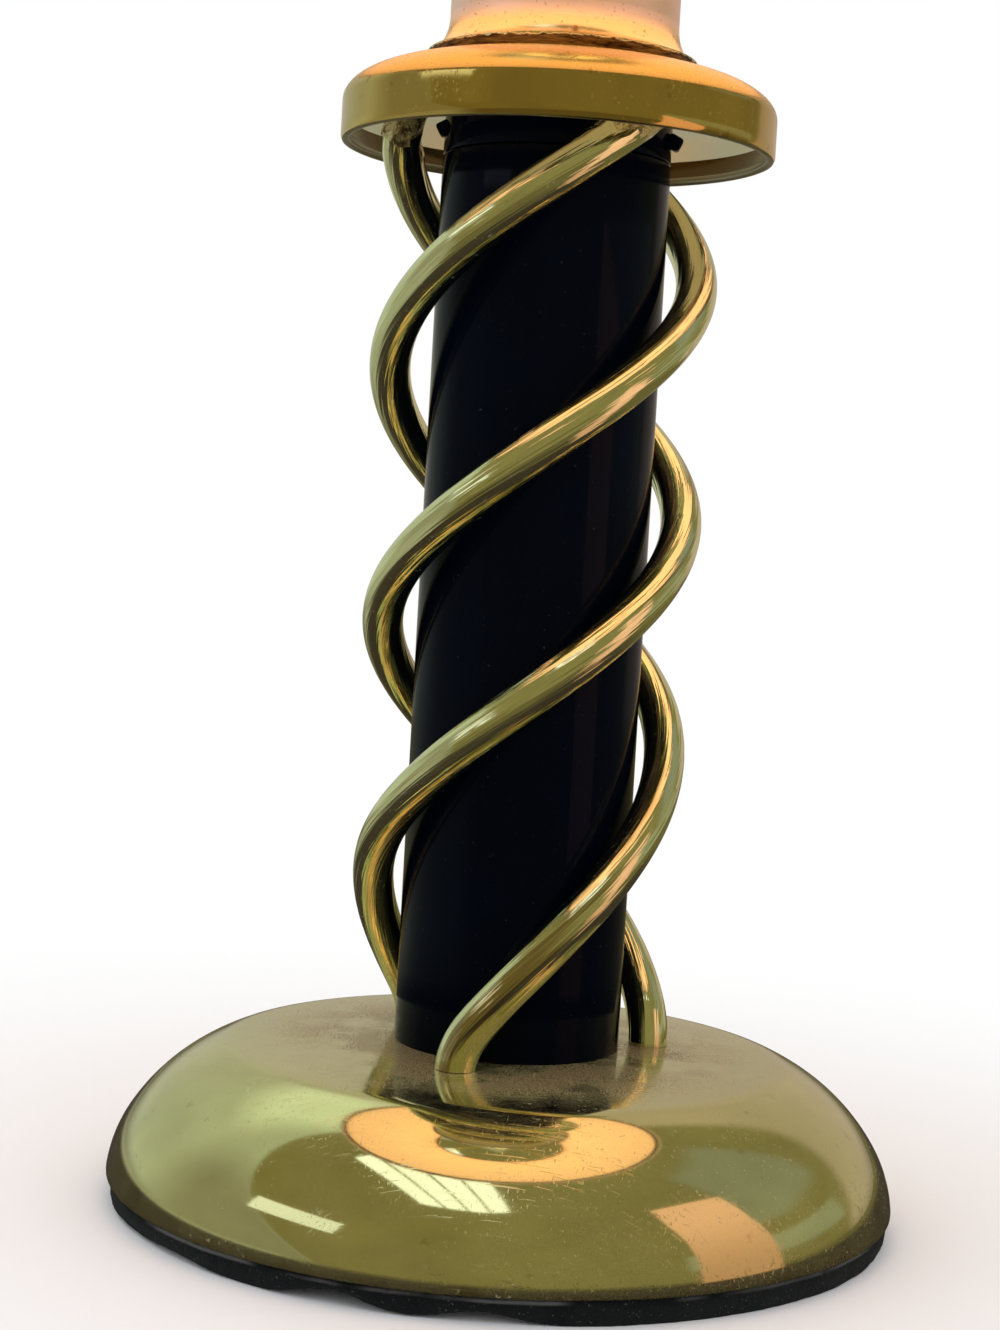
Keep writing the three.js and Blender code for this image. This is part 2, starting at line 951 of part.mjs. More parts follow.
// Swivel stud, riveted loosely through the harp's pad, and the finial on its thread
function swivelStud() {
  const headTop = harpPadBottom - seatGap;
  return turned(
    [
      [0, headTop - studHeadThickness],
      [studHeadRadius, headTop - studHeadThickness],
      [studHeadRadius, headTop],
      [studPinRadius, headTop],
      [studPinRadius, studCollarBottom],
      [studCollarRadius, studCollarBottom],
      [studCollarRadius, studCollarTop],
      [studThreadRadius, studCollarTop],
      [studThreadRadius, studCollarTop + studThreadHeight],
      [0, studCollarTop + studThreadHeight],
    ],
    smallSides,
  );
}

function finial() {
  const bore = studThreadRadius + boreGap;
  const boreTop = studCollarTop + studThreadHeight + seatGap;
  const ballMiddle = finialBottom + finialSkirt + finialBallRadius;
  const ball = arcPoints(
    [0, ballMiddle],
    [finialBallRadius, finialBallRadius],
    -50,
    90,
    5,
  );
  ball[ball.length - 1][0] = 0;
  return turned(
    [
      [0, boreTop],
      [bore, boreTop],
      [bore, finialBottom],
      [finialBaseRadius, finialBottom],
      [finialBaseRadius, finialBottom + 2],
      [finialNeckRadius, finialBottom + 4],
      [finialNeckRadius, finialBottom + finialSkirt],
      ...ball,
    ],
    smallSides,
  );
}

// Shade, its two wire rings, the spider and the tape round its edges
function shadeShell() {
  return turned(
    [
      [shadeBottomRadius - shadeThickness, shadeBottom],
      [shadeBottomRadius, shadeBottom],
      [shadeTopRadius, shadeTop],
      [shadeTopRadius - shadeThickness, shadeTop],
    ],
    wideSides,
  );
}

function shadeRing(height) {
  const radius = shadeRadiusAt(height, shadeRingDepth);
  return new THREE.TorusGeometry(radius, shadeRingWire, 6, wideSides).translate(
    0,
    0,
    height,
  );
}

function shadeSpider() {
  const ringRadius = shadeRadiusAt(topRingHeight, shadeRingDepth);
  const washerMiddle = spiderBottom + spiderWasherThickness / 2;
  const washer = tube(
    studThreadRadius + boreGap,
    spiderWasherRadius,
    spiderBottom,
    spiderBottom + spiderWasherThickness,
    smallSides,
  );
  const arms = Array.from({ length: spiderArms }, (_, i) => {
    const turn = Math.PI / 2 + (2 * Math.PI * i) / spiderArms;
    const out = new THREE.Vector3(Math.cos(turn), Math.sin(turn), 0);
    const bend = out.clone().multiplyScalar(0.35 * ringRadius);
    const start = out.clone().multiplyScalar(spiderWasherRadius - 1.5);
    const end = out.clone().multiplyScalar(ringRadius);
    const lift = washerMiddle + 0.5;
    start.z = lift;
    bend.z = lift;
    end.z = topRingHeight;
    const curve = new THREE.QuadraticBezierCurve3(start, bend, end);
    return swept(curve, spiderArmRadius, 6, 6);
  });
  return joined(shadeRing(topRingHeight), washer, ...arms);
}

// A band round the outside of the shade between two heights
function shadeTrim(bottom, top) {
  const near = (height) => shadeRadiusAt(height) + seatGap;
  return turned(
    [
      [near(bottom), bottom],
      [near(bottom) + trimThickness, bottom],
      [near(top) + trimThickness, top],
      [near(top), top],
    ],
    wideSides,
  );
}

// The assembly
addPiece("felt_pad", feltPad(), felt);
addPiece("base_dome", baseDome(), brass);
addPiece("base_weight", baseWeight(), castIron);
addPiece(
  "bottom_washer",
  tube(
    pipeClear,
    bottomWasherRadius,
    bottomWasherBottom,
    bottomWasherBottom + bottomWasherThickness,
    middleSides,
  ),
  steel,
);
addPiece(
  "bottom_nut",
  nut(bottomNutWidth, pipeClear, bottomNutBottom, bottomNutHeight),
  steel,
);
addPiece("lead_inlet", leadInlet(), blackPlastic);
addPiece(
  "threaded_pipe",
  tube(pipeBore, pipeRadius, bottomNutBottom, pipeTop, smallSides),
  steel,
);
addPiece("column_bottom_plug", columnBottomPlug(), blackPlastic);
addPiece(
  "column_tube",
  tube(columnInner, columnRadius, columnBottom, columnTop, wideSides),
  blackLacquer,
);
addPiece("column_top_cap", columnTopCap(), blackPlastic);
rodIndexes.forEach((index) => {
  addPiece(`twist_rod_${index + 1}`, twistRod(index), brass);
  addPiece(`rod_nut_${index + 1}`, rodNut(index), steel);
});
addPiece("top_disc", topDisc(), brass);
addPiece("neck", neck(), brass);
addPiece("neck_cap", neckCap(), brass);
addPiece(
  "lock_nut",
  nut(lockNutWidth, pipeClear, lockNutBottom, lockNutHeight),
  brass,
);
addPiece("harp_saddle", harpSaddle(), brass);
addPiece("socket_bell", socketBell(), brass);
addPiece("socket_shell", socketShell(), brass);
addPiece("socket_liner", socketLiner(), cardboard);
addPiece("socket_body", socketBody(), phenolic);
addPiece("screw_shell", screwShell(), brass);
addPiece("centre_contact", centreContact(), brass);
addPiece("switch_stem", switchStem(), brass);
addPiece("switch_knob", switchKnob(), blackPlastic);
addPiece(
  "bulb_tip",
  bar(bulbTipRadius, bulbTipBottom, bulbTipBottom + bulbTipHeight, smallSides),
  steel,
);
addPiece("bulb_cap", bulbCap(), steel);
addPiece("bulb_glass", bulbGlass(), glass);
addPiece("harp_bow", harpBow(), brass);
addPiece("harp_sleeve_left", harpSleeve(-1), brass);
addPiece("harp_sleeve_right", harpSleeve(1), brass);
addPiece("swivel_stud", swivelStud(), brass, shadeGroup);
addPiece("finial", finial(), brass, shadeGroup);
addPiece("shade_shell", shadeShell(), shadeCloth, shadeGroup);
addPiece("shade_spider", shadeSpider(), brass, shadeGroup);
addPiece("shade_bottom_ring", shadeRing(bottomRingHeight), brass, shadeGroup);
addPiece(
  "shade_top_trim",
  shadeTrim(shadeTop - trimHeight, shadeTop),
  shadeTape,
  shadeGroup,
);
addPiece(
  "shade_bottom_trim",
  shadeTrim(shadeBottom, shadeBottom + trimHeight),
  shadeTape,
  shadeGroup,
);

export default lamp;
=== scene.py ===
"""A brass table lamp: domed base on felt, a black column caged by three twisted rods, a disc and a
neck, and above them the socket, bulb, harp and shade. Metres, +Z up, the front towards -Y."""
from math import atan2, cos, hypot, pi, radians, sin

import bmesh
import bpy
from mathutils import Matrix, Vector, noise


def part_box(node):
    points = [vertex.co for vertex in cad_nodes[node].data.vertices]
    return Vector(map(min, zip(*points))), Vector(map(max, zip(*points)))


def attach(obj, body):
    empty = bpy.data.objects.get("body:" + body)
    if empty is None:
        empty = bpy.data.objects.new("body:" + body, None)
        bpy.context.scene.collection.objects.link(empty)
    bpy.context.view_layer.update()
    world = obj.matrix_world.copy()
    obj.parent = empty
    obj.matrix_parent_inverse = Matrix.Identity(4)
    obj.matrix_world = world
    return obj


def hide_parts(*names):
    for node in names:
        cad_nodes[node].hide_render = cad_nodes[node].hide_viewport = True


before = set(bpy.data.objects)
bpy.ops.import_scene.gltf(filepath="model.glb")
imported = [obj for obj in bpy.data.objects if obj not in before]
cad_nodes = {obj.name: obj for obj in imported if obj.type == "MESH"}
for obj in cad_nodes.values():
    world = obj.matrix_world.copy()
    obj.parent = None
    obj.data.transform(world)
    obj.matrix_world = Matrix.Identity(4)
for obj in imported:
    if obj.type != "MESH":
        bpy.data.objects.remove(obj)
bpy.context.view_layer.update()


# CAMERA
# A hand-held camera half a metre in front of the lamp, level with the middle of the column,
# turned a little to the left, tipped down, and rolled so that the lamp leans to the right.
def link_object(name, data):
    made = bpy.data.objects.new(name, data)
    bpy.context.scene.collection.objects.link(made)
    return made


eye = bpy.data.cameras.new("camera")
eye.sensor_width = 36
eye.lens = 65.67
eye.clip_start = 0.01
camera = link_object("camera", eye)
camera.matrix_world = (
    Matrix.Translation((0.0222, -0.5446, 0.1498))
    @ Matrix.Rotation(radians(2.99), 4, "Z")
    @ Matrix.Rotation(radians(90 - 2.90), 4, "X")
    @ Matrix.Rotation(radians(3.275), 4, "Z")
)
bpy.context.scene.camera = camera
bpy.context.scene.view_settings.view_transform = "Standard"


# FLOOR AND STUDIO
# A pale sweep of paper under the lamp, bright all round. It keeps the lamp's soft shadow near the
# base and runs into the white of the background further out. In the metal it looks like a dark
# table with the lower part of a room round it.
class Signal:
    """An output in a node tree. Sums on it add Math nodes, and node() adds any other node."""

    def __init__(self, tree, socket=None):
        self.tree = tree
        self.socket = socket

    def node(self, kind, settings=None, values=None, output=0):
        """Adds a node with its settings and inputs. A colour is given without its alpha."""
        made = self.tree.nodes.new("ShaderNode" + kind)
        for name, value in (settings or {}).items():
            setattr(made, name, value)
        for name, value in (values or {}).items():
            if isinstance(value, Signal):
                self.tree.links.new(value.socket, made.inputs[name])
            elif made.inputs[name].type == "RGBA":
                made.inputs[name].default_value = (*value, 1)
            else:
                made.inputs[name].default_value = value
        return Signal(self.tree, made.outputs[output]) if made.outputs else None

    def maths(self, operation, *others):
        return self.node("Math", {"operation": operation}, dict(enumerate((self, *others))))

    def __add__(self, other):
        return self.maths("ADD", other)

    def __sub__(self, other):
        return self.maths("SUBTRACT", other)

    def __rsub__(self, other):
        return self * -1 + other

    def __mul__(self, other):
        return self.maths("MULTIPLY", other)

    __radd__ = __add__
    __rmul__ = __mul__

    def axis(self, index):
        """The X, Y or Z part of a place."""
        return self.node("SeparateXYZ", None, {"Vector": self}, output=index)

    def length(self):
        return self.node("VectorMath", {"operation": "LENGTH"}, {0: self}, output=1)

    def between(self, low, high):
        """Climbs smoothly from 0 at low to 1 at high."""
        ends = {"Value": self, "From Min": low, "From Max": high}
        return self.node("MapRange", {"interpolation_type": "SMOOTHSTEP"}, ends)

    def within(self, low, inner_low, inner_high, high):
        """1 inside a range, smoothly down to 0 outside it."""
        return self.between(low, inner_low) * (1 - self.between(inner_high, high))

    def mix(self, first, second, kind="MIX"):
        """A colour that goes from the first to the second as this signal goes from 0 to 1."""
        settings = {"data_type": "RGBA", "blend_type": kind}
        return self.node("Mix", settings, {0: self, 6: first, 7: second}, output=2)


def new_finish(name):
    """A material, and the place on the object as the first signal of its node tree."""
    material = bpy.data.materials.new(name)
    material.use_nodes = True
    material.node_tree.nodes.clear()
    return material, Signal(material.node_tree).node("TexCoord", output="Object")


def paint_on(material, shader):
    shader.node("OutputMaterial", None, {"Surface": shader})
    return material


def grain(place, scale, detail=2.0, rough=0.5, stretch=None):
    """Noise of so many specks to the metre, stretched along the axes if asked."""
    if stretch:
        place = place.node("Mapping", None, {"Vector": place, "Scale": stretch})
    values = {"Vector": place, "Scale": scale, "Detail": detail, "Roughness": rough}
    return place.node("TexNoise", None, values)


def link_mesh(name, bm, *finishes):
    mesh = bpy.data.meshes.new(name)
    bm.to_mesh(mesh)
    bm.free()
    for finish in finishes:
        mesh.materials.append(finish)
    return link_object(name, mesh)


sweep_paper, place = new_finish("sweep_paper")
kinds = ("Is Camera Ray", "Is Glossy Ray", "Is Transmission Ray")
camera_ray, mirrored, through = (place.node("LightPath", output=kind) for kind in kinds)
seen = camera_ray.maths("MAXIMUM", mirrored).maths("MAXIMUM", through)
tone = mirrored.mix((0.88, 0.88, 0.88), (0.045, 0.037, 0.030))
values = {"Base Color": tone, "Roughness": 0.9, "Specular IOR Level": 0.1}
paper = place.node("BsdfPrincipled", None, values)
heading = place.axis(0).maths("ARCTAN2", place.axis(1))
room = heading.within(-0.3, -1.0, -2.1, -2.5).mix((0.16, 0.14, 0.065), (0.40, 0.42, 0.34))
glow = place.node("Emission", None, {"Color": mirrored.mix((1, 1, 1), room)})
far = place.length()
beyond = far.between(0.08, 0.36) * (seen - mirrored) + far.between(0.20, 0.40) * mirrored
paint_on(sweep_paper, place.node("MixShader", None, {0: beyond, 1: paper, 2: glow}))
bm = bmesh.new()
bmesh.ops.create_circle(bm, cap_ends=True, radius=6, segments=96)
link_mesh("sweep", bm, sweep_paper)

world = bpy.data.worlds.new("studio")
world.use_nodes = True
world.node_tree.nodes.clear()
air = Signal(world.node_tree).node("Background", None, {"Color": (1, 1, 1)})
air.node("OutputWorld", None, {"Surface": air})
bpy.context.scene.world = world

# A painted tent hangs over the lamp and only the polished metal sees it: dim and olive at the
# front, pale green-grey from the left round to the back, with a grey panel at the right. Angles are
# in degrees, from the back towards the right, and up.
tent_paint, place = new_finish("tent_paint")
place = place.node("VectorMath", {"operation": "SUBTRACT"}, {0: place, 1: (0, 0, 0.04)})
side = place.axis(0).maths("ARCTAN2", place.axis(1)) * (180 / pi)
up = place.axis(2).maths("DIVIDE", place.length()).maths("ARCSINE") * (180 / pi)
left_edge = (side - up * 1.06).between(-133.5, -130.5)
right_edge = 1 - (side + up * 0.53).between(56, 64)
back_tone = side.between(-60, 20).mix((0.53, 0.60, 0.52), (0.53, 0.45, 0.37))
tone = (left_edge * right_edge).mix((0.26, 0.235, 0.11), back_tone)
bright = side.within(-76, -52, -34, -14) * up.within(34, 46, 58, 64)
tone = (bright * 0.8).mix(tone, (0.95, 1.12, 1.0))
low_left = left_edge * (1 - side.between(-88, -62)) * (1 - up.between(24, 46))
tone = low_left.mix(tone, (0.31, 0.31, 0.24))
low_right = side.within(58, 64, 122, 125) * up.within(4, 7, 14, 17)
tone = low_right.mix(tone, (0.36, 0.39, 0.31))
panel = side.within(54, 60, 91, 97) * up.within(21, 27, 53, 59)
tone = panel.mix(tone, (0.30, 0.32, 0.27))
dusk = 0.4 + 0.6 * (up + side.maths("ABSOLUTE").between(20, 140) * 9).between(-4, 5)
strength = dusk * (0.72 + grain(place, 1.6, 4) * 0.56)
paint_on(tent_paint, place.node("Emission", None, {"Color": tone, "Strength": strength}))
bm = bmesh.new()
bmesh.ops.create_uvsphere(bm, u_segments=64, v_segments=32, radius=1.5)
tent = link_mesh("tent", bm, tent_paint)

# A low peach board leans beside the lamp at the right. It too shows in the metal alone.
board_paint, place = new_finish("board_paint")
tone = place.axis(2).between(-0.02, 0.20).mix((0.66, 0.38, 0.27), (1.15, 0.68, 0.54))
paint_on(board_paint, place.node("Emission", None, {"Color": tone}))
bm = bmesh.new()
corners = ((0.212, -0.168, -0.02), (0.252, -0.066, -0.02), (0.252, -0.066, 0.220), (0.212, -0.168, 0.256))
bm.faces.new([bm.verts.new(corner) for corner in corners])
board = link_mesh("board", bm, board_paint)
for screen in (tent, board):
    for ray in ("camera", "diffuse", "transmission", "volume_scatter", "shadow"):
        setattr(screen, f"visible_{ray}", False)

# Soft boxes hang inside the tent: four long ones side by side above the left front, and a slim one
# low at the left.
soft_boxes = [((-0.31 + 0.118 * i, -0.51 + 0.037 * i, 1.20), 17.5, (0.108, 0.92), 1.5) for i in range(-1, 3)]
soft_boxes.append(((-1.02, -0.62, 0.62), None, (0.66, 0.20), 1.0))
for place, turn, (wide, high), radiance in soft_boxes:
    light = bpy.data.lights.new("soft_box", "AREA")
    light.shape = "RECTANGLE"
    light.size = wide
    light.size_y = high
    light.color = (0.88, 1.0, 1.25)
    light.energy = radiance * pi * wide * high
    stand = link_object("soft_box", light)
    aim = Vector((0, 0, 0.1)) - Vector(place)
    facing = aim.to_track_quat("-Z", "Y").to_matrix().to_4x4()
    if turn:
        facing = Matrix.Rotation(radians(turn), 4, "Z")
    stand.matrix_world = Matrix.Translation(place) @ facing


# FELT PAD
# A thick disc of black felt glued under the base. Its edge is cut by hand, wavy and fluffy, and
# at the left front it curls up from the table in two places. Pale lint clings along its rim.
def extent(name):
    """Half the width of a solid, its lowest and its highest point, in millimetres."""
    low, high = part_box(name)
    return high.x * 1000, low.z * 1000, high.z * 1000


def mm(*values):
    """Millimetres as metres."""
    return [value * 0.001 for value in values]


def offset(radius, height, *steps):
    """Points of an outline, given by their steps from one radius and height."""
    return [(radius + out, height + up) for out, up in steps]


def face_out(bm):
    bmesh.ops.recalc_face_normals(bm, faces=bm.faces)


def turned(outline, steps, rounding=0.0, closed=True):
    """Spins an outline of (radius, height) points, in millimetres, round the Z axis."""
    bm = bmesh.new()
    points = [bm.verts.new((*mm(r), 0, *mm(z))) for r, z in outline]
    for pair in zip(points, points[1:]):
        bm.edges.new(pair)
    if closed and outline[0][0] > 0:
        bm.edges.new((points[-1], points[0]))
    if rounding:
        corners = [v for v in bm.verts if len(v.link_edges) == 2]
        bmesh.ops.bevel(
            bm, geom=corners, offset=rounding * 0.001, segments=3, profile=0.5, affect="VERTICES", material=-1
        )
    spun = [*bm.verts, *bm.edges]
    bmesh.ops.spin(
        bm, geom=spun, cent=(0, 0, 0), axis=(0, 0, 1), angle=2 * pi, steps=steps, use_merge=True
    )
    bmesh.ops.remove_doubles(bm, verts=bm.verts, dist=1e-6)
    face_out(bm)
    return bm


def settle(piece, body, stands_for):
    """Puts the piece on its body and hides the solids that it stands for."""
    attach(piece, body)
    if stands_for:
        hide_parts(*stands_for)
    return piece


def add_piece(name, bm, finish, *stands_for, slot="polished_brass", body="lamp", smooth=40, more=()):
    """Makes a piece, smooth but for edges sharper than the angle. More finishes go on its other faces."""
    piece = link_mesh(name, bm, finish, *more)
    piece.data.shade_smooth()
    piece.data.set_sharp_from_angle(angle=radians(smooth))
    return settle(piece, body, stands_for)


def coat(finish, colour, roughness, *bumps, **more):
    """Puts a Principled surface on a finish. Each bump is a height, how deep it is in metres, and its
    strength. More inputs go by their names, with _ for a space."""
    start = Signal(finish.node_tree)
    values = {"Base Color": colour, "Roughness": roughness}
    values.update({name.replace("_", " "): value for name, value in more.items()})
    for height, depth, strength in bumps:
        bump = {"Height": height, "Distance": depth, "Strength": strength}
        if "Normal" in values:
            bump["Normal"] = values["Normal"]
        values["Normal"] = start.node("Bump", None, bump)
    return paint_on(finish, start.node("BsdfPrincipled", None, values))


black_felt, place = new_finish("black_felt")
fluff = grain(place, 1400, 4, 0.7)
clumps = grain(place, 160, 3)
lint = grain(place, 1900, 2, 0.6).between(0.66, 0.72)
fuzz_line = place.axis(2).within(0.0040, 0.0045, 0.0047, 0.0050) * grain(place, 45).between(0.42, 0.60)
tone = clumps.mix((0.0020, 0.0028, 0.0032), (0.0075, 0.0095, 0.0100))
tone = (fuzz_line * 0.30 + lint * 0.22).mix(tone, (0.34, 0.34, 0.33))
coat(
    black_felt, tone, 1.0, (clumps, 0.0012, 0.6), (fluff, 0.0005, 0.8),
    Specular_IOR_Level=0.1, Sheen_Weight=0.04, Sheen_Roughness=0.6,
)

felt_edge, felt_top = extent("felt_pad")[::2]
outline = [
    (0, 0), (60, 0), (75, 0),
    *offset(felt_edge, 0, (-3, 0), (-0.6, 0), (-0.1, 0.7), (0.1, 2.2), (0, 3.8)),
    *offset(felt_edge, felt_top, (-0.5, 0), (-6, 0)), (0, felt_top),
]
bm = turned(outline, 360)
curls = ((-19, 3.1, 6.5), (1, 2.3, 6.0), (-47, 1.3, 9.0), (-63, 0.7, 7.0))
curl_start = 0.070
for vert in bm.verts:
    radius = vert.co.xy.length
    if radius < curl_start:
        continue
    angle = atan2(vert.co.x, -vert.co.y) * 180 / pi
    lift = sum(rise / 1000 * 2.72 ** (-(((angle - at) / wide) ** 2)) for at, rise, wide in curls)
    reach = min((radius - curl_start) / 0.014, 1)
    under = max(1 - vert.co.z / (felt_top * 0.001), 0)
    vert.co.z += lift * reach * reach * under
    wave = noise.noise(Vector((vert.co.x, vert.co.y, 0)) * 60) * 0.0006
    fray = noise.noise(vert.co * 420) * 0.00022
    vert.co.xy *= 1 + (wave + fray) / radius * reach
felt_sole = add_piece("felt_sole", bm, black_felt, "felt_pad", slot="felt", smooth=60)


# BASE DOME
# A cap spun from brass sheet, polished and lacquered. It has a nearly flat crown, a full rounded
# shoulder and an edge turned in over the felt. Dust, fine scratches and dull spots lie on it.
def brass(name, colour, roughness, dust, spots, scratches, waves, powder=0.0, crust=None, drawn=False):
    """Brass. Dust dulls it in specks, spots brown it, scratches cross it in fine lines and waves
    bend what it mirrors. Powder is brown dust round the column, crust a brown edge up to a height
    with satin metal above it, and drawn gives lines along a bar."""
    finish, place = new_finish(name)
    cloud = grain(place, 22, 3)
    specks = grain(place, 900, 2, 0.6).between(0.64, 0.72) * cloud.between(0.35, 0.65)
    pits = grain(place, 230, 3, 0.6).between(0.66, 0.74)
    lines_a = grain(place, 60, 1, 0.5, (1, 44, 12)).between(0.66, 0.70)
    lines_b = grain(place, 60, 1, 0.5, (38, 1.2, 17)).between(0.67, 0.71)
    lines = lines_a.maths("MAXIMUM", lines_b) * grain(place, 35).between(0.40, 0.60)
    red, green, blue = colour
    brown = (0.42 * red, 0.30 * green, 0.22 * blue)
    body = cloud.mix((0.88 * red, 0.88 * green, 0.88 * blue), colour)
    body = (pits * spots).mix(body, brown)
    dirt = specks * dust
    dull = roughness + 0.04 * cloud + lines * scratches * 0.22 + pits * spots * 0.2
    bumps = [(grain(place, 45, 1), 0.0006, waves), (lines, 0.00002, 0.3 * scratches)]
    if powder:
        level = place.node("VectorMath", {"operation": "MULTIPLY"}, {0: place, 1: (1, 1, 0)})
        near = 1 - level.length().between(0.036, 0.066) * 0.93
        loose = grain(place, 3000, 3, 0.75).between(0.38, 0.60) * near
        dirt = dirt.maths("MAXIMUM", loose * grain(place, 70, 3).between(0.25, 0.60) * powder)
    if crust:
        height = place.axis(2)
        jagged = height + (grain(place, 420, 4, 0.75) - 0.5) * 0.0022
        crusted = 1 - jagged.between(crust - 0.0002, crust + 0.0003)
        streaks = grain(place, 120, 4, 0.7, (1, 1, 6)).between(0.35, 0.65)
        body = crusted.mix(body, streaks.mix((0.045, 0.018, 0.005), (0.30, 0.17, 0.05)))
        satin = height.between(crust + 0.0040, crust + 0.0080)
        body = satin.mix(body, (1.0, 0.80, 0.74))
        dull = dull + crusted * 0.30 + satin * 0.26
        bumps.append((crusted * streaks, 0.0004, 0.7))
    if drawn:
        bar = place.node("Attribute", {"attribute_name": "along_bar"}, output=1)
        fine = grain(bar, 1000, 3, 0.65, (1, 1, 0.03))
        coarse = grain(bar, 330, 3, 0.6, (1, 1, 0.035))
        body = (coarse.between(0.56, 0.66) * 0.85).mix(body, brown)
        dull = dull + fine.between(0.4, 0.7) * 0.05
        bumps += [(fine, 0.00018, 0.50), (coarse, 0.0011, 0.50)]
    body = dirt.mix(body, (0.21, 0.125, 0.062))
    return coat(finish, body, dull + dirt * 0.5, *bumps, Metallic=1 - dirt)


dome_brass = brass("dome_brass", (0.71, 0.665, 0.31), 0.035, 0.40, 0.25, 0.9, 0.10, powder=1.0)
base_radius, base_bottom, solid_top = extent("base_dome")
crown_top = solid_top + 0.15
crown_radius = 60.2
crown_rise = 1.45
crown_slope = 2.75
dome_wall = 1.5
bore = 5.4


def crown_height(radius):
    return crown_top - crown_rise * (radius / crown_radius) ** 2


def shoulder_line(inset, step):
    """From the crown's edge down to the widest circle, as arcs of three radii end to end."""
    slope = radians(crown_slope)
    radius = crown_radius - inset * sin(slope)
    height = crown_height(crown_radius) - inset * cos(slope)
    line = [(radius, height)]
    for last, bend in ((22, 12.2), (58, 42.2), (84, 27.5)):
        while slope < radians(last) - 1e-6:
            after = min(slope + radians(step), radians(last))
            radius += (bend - inset) * (sin(after) - sin(slope))
            height -= (bend - inset) * (cos(slope) - cos(after))
            line.append((radius, height))
            slope = after
    return line


outline = [
    (bore, crown_height(bore) - dome_wall),
    *[(r, crown_height(r)) for r in (bore, 12, 20, 28, 36, 44, 52)],
    *shoulder_line(0, 1.5),
    *offset(base_radius, base_bottom, (-0.14, 0.7), (-0.3, 0.3), (-0.7, 0.05), (-1.3, 0)),
    *offset(base_radius, base_bottom, (-1.8, 0.2), (-2, 0.8)),
    *shoulder_line(dome_wall, 6)[::-1],
    (30, crown_height(30) - dome_wall),
]
bm = turned(outline, 256)
inlet_place = Vector(mm(0, 86.5, 14.4))
inlet_slope = radians(67.8)
inlet_axis = Vector((0, sin(inlet_slope), cos(inlet_slope)))
inlet_hole = 0.0056
opened = []
for face in bm.faces:
    middle = face.calc_center_median()
    if middle.y > 0.07 and (middle - inlet_place).cross(inlet_axis).length < inlet_hole:
        opened.append(face)
bmesh.ops.delete(bm, geom=opened, context="FACES")
bmesh.ops.bridge_loops(bm, edges=[edge for edge in bm.edges if edge.is_boundary])
face_out(bm)
add_piece("dome", bm, dome_brass, "base_dome", smooth=50)


# COLUMN
# A thick-walled tube in deep black gloss lacquer. Its lower end stands on the crown of the base
# and its upper end carries a black collar with two small tabs, just inside the disc.
def spread(first, last, count):
    """The values from the first to the last, in so many equal steps."""
    return [first + (last - first) * i / count for i in range(count + 1)]


black_gloss, place = new_finish("black_gloss")
specks = grain(place, 1700).between(0.73, 0.78)
hairs = grain(place, 90, 1, 0.5, (20, 20, 0.6)).between(0.70, 0.74)
tone = grain(place, 30, 2).mix((0.0006, 0.0011, 0.0026), (0.0008, 0.0022, 0.0066))
tone = (specks * 0.25).mix(tone, (0.16, 0.15, 0.13))
dull = 0.10 + specks * 0.4 + hairs * 0.08
coat(black_gloss, tone, dull, (grain(place, 28, 1), 0.0005, 0.10), Specular_IOR_Level=0.05)
column_radius, column_top = extent("column_tube")[::2]
column_foot = crown_height(column_radius) - 0.05
outline = [
    (column_radius - 1.5, column_foot),
    *[(column_radius, height) for height in spread(column_foot, column_top, 12)],
    (column_radius - 1.5, column_top),
]
add_piece("column", turned(outline, 192, 0.25), black_gloss, "column_tube", slot="black_lacquer")

dull_black, place = new_finish("dull_black")
mottle = grain(place, 500, 3, 0.6)
tone = mottle.mix((0.0022, 0.0022, 0.0025), (0.0060, 0.0058, 0.0055))
coat(dull_black, tone, 0.42 + 0.2 * mottle, (mottle, 0.0003, 0.4), Specular_IOR_Level=0.2)
cap_bottom, cap_top = extent("column_top_cap")[1:]
cap_flange = column_top + 0.3
outline = [
    (bore, cap_bottom), (column_radius - 1.9, cap_bottom),
    *offset(column_radius, cap_flange, (-1.9, 0), (-0.1, 0)),
    *offset(column_radius, cap_top, (-0.1, -1.2), (-1.5, -0.6)),
    (14, cap_top - 0.6), (14, cap_top), (bore, cap_top),
]
bm = turned(outline, 160, 0.35)
for side, out, drop in ((-1, 24.9, 5.4), (1, 25.8, 4.6)):
    tab = bmesh.ops.create_cube(bm, size=1)["verts"]
    bmesh.ops.scale(bm, verts=tab, vec=mm(3.4, 4.2, 3.0))
    bmesh.ops.rotate(bm, verts=tab, cent=(0, 0, 0), matrix=Matrix.Rotation(radians(28 * side), 3, "Y"))
    bmesh.ops.translate(bm, verts=tab, vec=mm(side * out, -4.5, cap_flange + drop))
    edges = list({edge for vert in tab for edge in vert.link_edges})
    bmesh.ops.bevel(bm, geom=edges, offset=0.0007, segments=3, profile=0.5, affect="EDGES", material=-1)
add_piece("column_collar", bm, black_gloss, "column_top_cap", slot="black_plastic")

